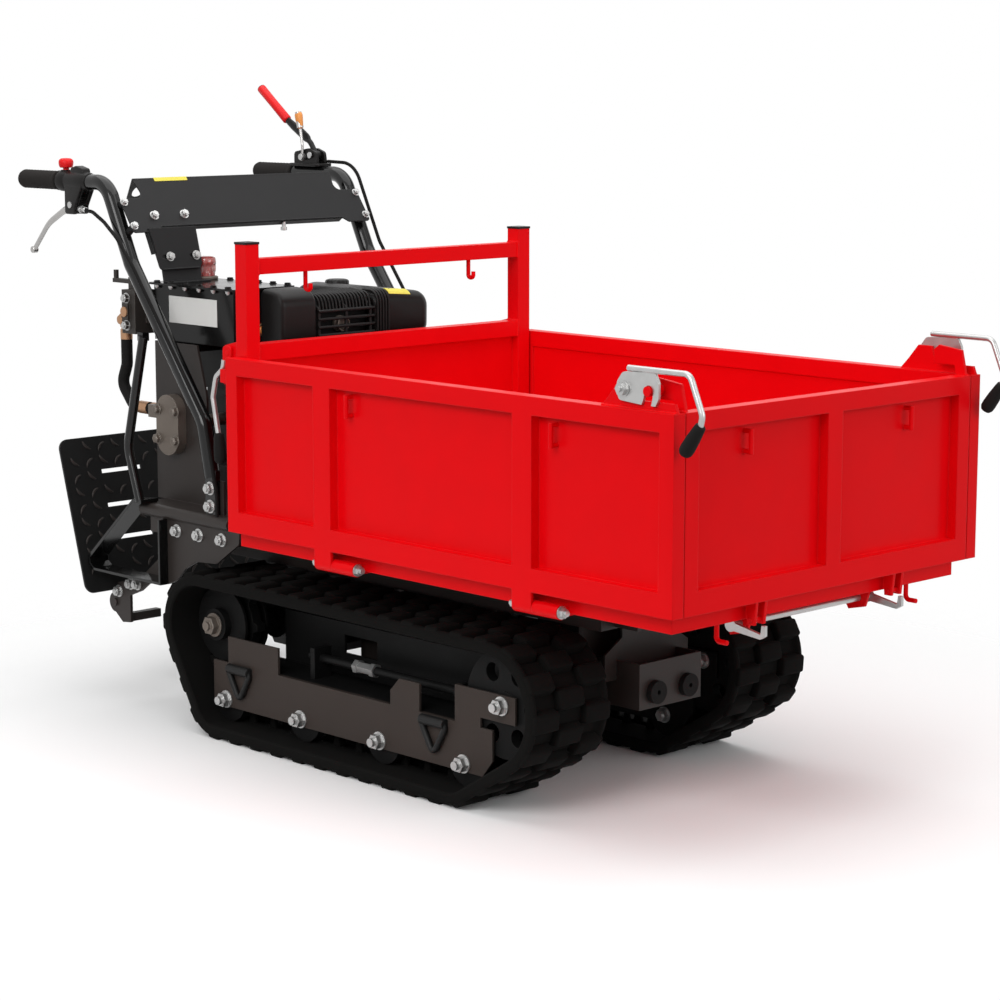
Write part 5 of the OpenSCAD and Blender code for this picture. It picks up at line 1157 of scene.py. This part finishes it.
# %% Cylinder fins and crankcase
fins("cylinder_fins", [(-343, 655), (-343, 720), (-152, 720)], -66, 3.0, 10, 0.6, {"Count": 13, "Step": 0.0085},
     engine_black)
CASE = rounded_outline([(-104, 482, 16), (86, 482, 16), (86, 622, 20), (-104, 622, 20)])
keep("crankcase_cover", moulded(CASE, lambda a, b, t: mm(-403 - t, a, b), 7, 2.5), engine_black, "chassis")
case_spots = [(mm(-410, y, z), -X, 0.5) for y in (-94, -9, 76) for z in (492, 612)]
bolt_set("crankcase_screws", case_spots, {"Stud Length": 0.001}, zinc, "chassis")
FILLER = [(0, 12), (6, 12), (6.1, 15), (14, 15), (16, 13), (16.2, 4)]
DRAIN = [(0, 7), (1, 9), (3, 9), (3.1, 7.4), (9, 7.4), (9.5, 5)]
plugs = [turned((-409, -62, 548), -X, FILLER, 12), turned((-409, 40, 505), -X, DRAIN, 6)]
keep("oil_filler", gather_up(plugs), moulded_black, "chassis")
print("crankcase bolts", len(case_spots))

# %% [markdown]
# The oil level shows in a small round glass on the tank's front face, amber in a brass ring. A pin hangs below the
# console's edge, and each track's tensioning screw carries a bright sleeve with a hexagon at both ends.

# %% Sight glass, pin and tensioner sleeves
amber = finish("amber_glass", (0.62, 0.20, 0.05), 0.10, grain=300, bump=0.01, edge=0.5, spread=90, coat=0.4)
GLASS_AT = (-157, -172, 749)
GLASS = [(0, 6), (3.2, 8.4), (5.2, 7.6), (6.2, 4), (6.4, 0.5)]
GLASS_RING = [(0, 9), (0.1, 12), (3, 12), (4.4, 11), (4.4, 8.5), (3, 8.2)]
PIN = [(0, 3), (0.5, 4), (14, 4), (14.1, 6.5), (20, 6.5), (21, 4)]
SLEEVE = [(0, 8.2), (0.2, 13), (11, 13), (11.2, 10.4), (44, 10.4), (44.2, 13), (55, 13), (55.2, 8.2)]
keep("sight_glass", turned(GLASS_AT, X, GLASS, 28), amber, "chassis", sharp=60)
keep("sight_ring", turned(GLASS_AT, X, GLASS_RING, 28), copper_fitting, "chassis")
keep("console_pin", turned((-394, 78, 934), -Z, PIN, 20), zinc, "chassis")
for s, side in SIDES:
    keep(f"tensioner_sleeve_{side}", turned((198, s * TRACK_Y, 175.5), X, SLEEVE, 6), zinc, "chassis",
         sharp=25)
print("sight glass, pin, sleeves")

# %% [markdown]
# On the right handle a clamp holds the clutch lever and the stop button. Its lower part has two cheeks with a slot for
# the lever between them, and grip ribs on its front. Outlines with rounded corners make the cheeks, and turned rings
# make the clamp that goes round the tube.

# %% Right lever clamp
CHEEK = rounded_outline([(-584, 953, 6), (-552, 953, 5), (-551, 968, 6), (-527, 1007, 8), (-530, 1024, 6),
                         (-584, 1024, 6)])
WEB = rounded_outline([(-584, 990, 4), (-553, 986, 4), (-530, 1008, 6), (-532, 1022, 5), (-584, 1022, 5)])
HOOD = rounded_outline([(-574, 1030, 5), (-530, 1030, 5), (-534, 1041, 5), (-556, 1046, 6), (-572, 1042, 5)])
CLAMP = [(0, 15.6), (0.5, 18.4), (2, 20), (34, 20), (58, 18.4), (66, 16.6), (66.5, 15.2)]
COLLAR = [(0, 15.6), (0.5, 19), (2, 20.6), (25, 20.6), (27, 19), (27.2, 15.6)]
PIVOT = [(0, 3), (0.3, 6.4), (2, 6.6), (2.2, 4), (35.8, 4), (36, 6.4), (38, 6.2), (38.2, 3)]
clamp_parts = [
    moulded(CHEEK, across_from(-312), 9, 2),
    moulded(CHEEK, across_from(-287), 9, 2),
    moulded(WEB, across_from(-304), 18, 1),
    moulded(oblong(-556, -551.5, 954, 988, 1.5), across_from(-305), 20, 0.6),
    turned((-586, -HANDLE_Y, HANDLE_Z), X, CLAMP, 36),
    turned((-612, -HANDLE_Y, HANDLE_Z), X, COLLAR, 36),
    turned((-600, -HANDLE_Y, 1030), Z, [(0, 12), (4, 12), (7, 10), (7.2, 6.6)], 28),
    moulded(HOOD, across_from(-305), 20, 3),
]
clamp_parts += [ring_mesh([mm(-551, y, 957 + 7 * i) for y in (-310, -280)], 0.0017, 10) for i in range(5)]
perch = keep("right_lever_clamp", gather_up(clamp_parts), moulded_black, "chassis", sharp=45)
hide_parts("lever_brackets")
keep("clutch_pivot", turned((-566, -314, 971), Y, PIVOT, 20), zinc, "chassis")
print("clamp parts", len(clamp_parts))

# %% [markdown]
# The left handle carries the drive lever and the throttle on two upright plates over a saddle. The plates are flat
# outlines with holes for the pins.

# %% Left lever base
PLATE = rounded_outline([(-606, 1034, 3), (-532, 1034, 3), (-536, 1059, 8), (-560, 1067, 9), (-606, 1059, 8)])
PINS = ((-552, 1053, 276, 38), (-574, 1049, 270, 43))
pin_holes = [oval(x, z, 4, 4) for x, z, _, _ in PINS]
base_parts = [flat_sheet(PLATE, across_from(y), 6, pin_holes) for y in (281, 303)]
base_parts.append(moulded(oblong(-616, -524, 273, 317, 8), up_from(1030), 6, 1.5))
keep("left_lever_base", gather_up(base_parts), moulded_black, "chassis", sharp=45)
pins = [turned((x, y, z), Y, [(0, 3), (0.3, 6.4), (2.4, 6.6), (2.6, 3.9), (length - 2.6, 3.9), (length - 2.4, 6.4),
                              (length, 6.2), (length + 0.2, 3)], 20) for x, z, y, length in PINS]
keep("left_lever_pins", gather_up(pins), zinc, "chassis")
print("base parts", len(base_parts))

# %% [markdown]
# Two control cables leave the levers, swing clear of the tubes and run down beside them to the deck. They are clipped
# at both ends, so each is a ring sweep on a line with wide bends, and the right one starts in a bright adjuster.

# %% Control cables
CABLE_FEET = [(-150, 313.8, 593), (-118, 313.8, 453), (-118, 313.8, 415)]
RIGHT_CABLE = [(-552, -301, 963), (-500, -306, 960), (-446, -318, 943), (-388, -331, 916), (-336, -335, 868),
               (-306, -331, 822), (-236, -316, 706)] + [(x, -y, z) for x, y, z in CABLE_FEET]
LEFT_CABLE = [(-536, 313.8, 1039.8), (-452, 313.8, 1038), (-376, 313.8, 883)] + CABLE_FEET
ADJUSTER = [(0, 4), (0.4, 5.4), (8, 5.4), (8.1, 7), (15, 7), (15.1, 5), (26, 5), (27, 4)]
cable_parts = [ring_mesh(filleted([mm(*p) for p in line], 0.06, 12), 0.0035, 14) for line in (RIGHT_CABLE, LEFT_CABLE)]
cables = keep("control_cable_skins", gather_up(cable_parts), soft_rubber, "chassis", sharp=60)
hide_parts("control_cables")
keep("cable_adjuster", turned(RIGHT_CABLE[0], (52, -4.8, 0), ADJUSTER, 20), zinc, "chassis")
print("cable faces", len(cables.data.polygons))

# %% [markdown]
# A corner latch is a zinc plate that turns on a bolt and hooks over a pin. Its slot follows an arc about the bolt, so
# the pin can leave it when the lever swings up. A bent rod is welded to the plate and ends in a dipped rubber grip that
# is thicker at its far end. The rear latches hang down behind the headboard, and their plates are painted red.

# %% Corner latches
def arc(x, z, r, first, final, count):
    """Corners without a radius on a circle, between two angles in degrees."""
    return [(x + r * math.cos(t), z + r * math.sin(t), 0)
            for t in (math.radians(first + (final - first) * k / count) for k in range(count + 1))]


def taper(length, r):
    """A dipped grip that is thicker towards its far end."""
    return [(0, r * 0.60), (1.5, r * 0.74), (8, r * 0.82), (length * 0.45, r * 0.97), (length * 0.75, r * 1.03),
            (length - 7, r * 0.98), (length - 2.5, r * 0.76), (length - 0.6, r * 0.42), (length, r * 0.12)]


FRONT_AT, REAR_AT, GRIP_R = (973, 754), (-30, 729), 11.4
FRONT_PLATE = [(-14, -8, 7), (-9, -18, 7), *arc(0, 0, 43, -30, -3, 4), *arc(52, 0, 9, 180, 0, 8),
               *arc(0, 0, 61, -3, -21, 3), (66, -22, 2), (72, -11, 8), (72, 14, 12), (64, 29, 6), (-2, 26, 12),
               (-14, 10, 10)]
FRONT_ROD, FRONT_GRIP = [(8, 32), (133, 32), (159, -28), (155, -44), (127, -83)], [(156, -42.5), (122, -90)]
REAR_PLATE = [(-14, -58, 5), (6, -58, 3), *arc(0, 0, 51, -82, -89, 2), *arc(0, -42, 9, 270, 90, 8),
              *arc(0, 0, 33, -89, -73, 2), (10, -28, 0), (10, 12, 8), (-14, 12, 8)]
REAR_ROD = [(-10, -14), (-13, -30), (-34, -46), (-44, -84), (-30, -150), (-25, -196)]
REAR_GRIP = [(-29, -148), (-24, -204)]
LATCH_BOLT = {"Head Radius": 0.0106, "Head Height": 0.0068, "Washer Radius": 0.0125, "Stud Radius": 0.0048,
              "Stud Length": 0.0045}


def latch_shapes(at, s, plate_y, rod_y, plate, rod, grip):
    """The plate, the rod and the grip of a latch that turns about a station and height."""
    sheet = flat_sheet(rounded_outline(plate), lambda a, b, t: mm(at[0] + a, s * (plate_y + t), at[1] + b), 5,
                       [oval(0, 0, 5.05, 5.05, count=24)])
    bent, ends = [[(at[0] + a, s * rod_y, at[1] + b) for a, b in line] for line in (rod, grip)]
    return (sheet, ring_mesh(filleted([mm(*p) for p in bent], 0.016, 8), 0.0048, 20),
            dipped(*ends, taper, GRIP_R))


for s, side in SIDES:
    front_body, rear_body = f"latch_front_{side}", f"latch_rear_{side}"
    plate, rod, grip = latch_shapes(FRONT_AT, s, 372.5, 375, FRONT_PLATE, FRONT_ROD, FRONT_GRIP)
    latch = keep(f"front_latch_{side}", gather_up([plate, rod]), zinc, front_body, sharp=40)
    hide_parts(front_body)
    keep(f"front_latch_grip_{side}", grip, soft_rubber, front_body, sharp=60)
    plate, rod, grip = latch_shapes(REAR_AT, s, 347, 352, REAR_PLATE, REAR_ROD, REAR_GRIP)
    hook = keep(f"rear_latch_{side}", plate, red_enamel, rear_body, sharp=40)
    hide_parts(rear_body)
    keep(f"rear_latch_rod_{side}", rod, zinc, rear_body, sharp=60)
    keep(f"rear_latch_grip_{side}", grip, soft_rubber, rear_body, sharp=60)
    pivot = mm(FRONT_AT[0], s * 377.8, FRONT_AT[1])
    bolt_set(f"latch_bolt_{side}", [(pivot, s * Y, 1.0)], LATCH_BOLT, zinc, f"side_{side}")
print("corner latches 4")

# %% [markdown]
# Where one bar meets another there is a weld, painted over with the rest. A bead is a row of small overlapping drops,
# so a tree walks along each weld line and sets a ball at every step, each a little different in size.

# %% Weld beads
bead_tree, given = open_tree("weld_beads", {"Radius": 0.0027, "Step": 0.0026, "Seed": 7})
seam = add_node(bead_tree, "GeometryNodeMeshToCurve", {"Mesh": given["Geometry"]})
steps = add_node(bead_tree, "GeometryNodeResampleCurve", {"Curve": seam, "Length": given["Step"]}, mode="LENGTH")
drop = add_node(bead_tree, "GeometryNodeMeshUVSphere", {"Segments": 8, "Rings": 5, "Radius": given["Radius"]})
varied = add_node(bead_tree, "FunctionNodeRandomValue", {2: 0.86, 3: 1.14, "Seed": given["Seed"]})
close_tree(bead_tree, given, instances(bead_tree, steps, drop, Scale=varied.outputs[1]))


def weld(name, lines, body):
    """Beads along straight weld lines, each given by its two ends."""
    ends = [(mm(*p), Z, 1.0) for line in lines for p in line]
    grow(name, seeds(f"{name}_seeds", ends, [(i, i + 1) for i in range(0, len(ends), 2)]), bead_tree, {}, red_enamel,
         body, sharp=70)


POST_Y, GATE_Y, RAIL_TOP = 321, 350.6, 724.4
HEAD_SEAMS = [((23.4, 871), (23.4, 897)), ((-3, 898.2), (22, 898.2)), ((-3, 869.8), (22, 869.8)),
              ((23.4, 717), (23.4, 745)), ((-4, 746.2), (22, 746.2))]
head_lines = [[(x, s * POST_Y, z) for x, z in seam_ends] for s, _ in SIDES for seam_ends in HEAD_SEAMS]
weld("headboard_welds", head_lines, "bed")
for s, side in SIDES:
    weld(f"side_welds_{side}", [[(x, s * 372.6, RAIL_TOP) for x in (924, 1076)]], f"side_{side}")
weld("tailgate_welds", [[(x, s * GATE_Y, RAIL_TOP) for x in (1058, 1075)] for s, _ in SIDES], "tailgate")

# %% [markdown]
# Three thin plates lie flat on the surfaces below them: a pale one on the tank, and yellow ones on the console and on
# the smooth engine cover. Two are thin blocks with softened edges. The third bends round the cover's front edge.

# %% Plain plates and patches
def thin_plate(name, corners, lift, made, body):
    """A plate from four corners, thickened towards its lift."""
    bm = bmesh.new()
    skin(bm, [[bm.verts.new(c + Vector(lift) * share) for c in corners] for share in (0, 1)])
    bmesh.ops.bevel(bm, geom=list(bm.edges), offset=0.0002, segments=2, affect="EDGES")
    return keep(name, bm, made, body)


thin_plate("tank_blank_plate", [mm(x, -238, z) for x, z in oblong(-353, -205, 754, 805)], (0, -0.0008, 0), white_plate,
           "chassis")
thin_plate("console_patch", [on_front(y, up, -0.1) for y, up in oblong(-197, -118, 115, 123.5)], face_way * 0.0006,
           yellow_patch, "chassis")
EDGE_X, EDGE_R, PATCH_R, PATCH_T, PATCH_Y = -100, 24, 24.2, 0.9, (79, 134)
bent_patch = bmesh.new()
patch_rings = []
for k in range(7):
    t = math.radians(38 + (84 - 38) * k / 6)
    patch_rings.append([
        bent_patch.verts.new(mm(EDGE_X + r * math.cos(t), y, 816 - 0.11 * abs(y - 86) - EDGE_R + r * math.sin(t)))
        for y, r in oblong(*PATCH_Y, PATCH_R, PATCH_R + PATCH_T)])
skin(bent_patch, patch_rings)
keep("cover_patch", bent_patch, yellow_patch, "chassis", sharp=50)
print("plates 3")

# %% [markdown]
# A drop-side bed has a running gap round its floor. A strip of flat bar on the lower inner edge of each side and of the
# tailgate covers it, so that sand stays in the bed. The strips swing away with their panels.

# %% Floor strips
STRIP_LOW, STRIP_HEIGHT = 411.3, 0.0026
STRIPS = [("right", "side_right", (30, 1052.5, -355, -351.5)), ("left", "side_left", (30, 1052.5, 351.5, 355)),
          ("front", "tailgate", (1053.5, 1055, -351, 351))]
for end, body, edges in STRIPS:
    thin_plate(f"floor_strip_{end}", [mm(x, y, STRIP_LOW) for x, y in oblong(*edges)], (0, 0, STRIP_HEIGHT), red_enamel,
               body)
print("floor strips", len(STRIPS))
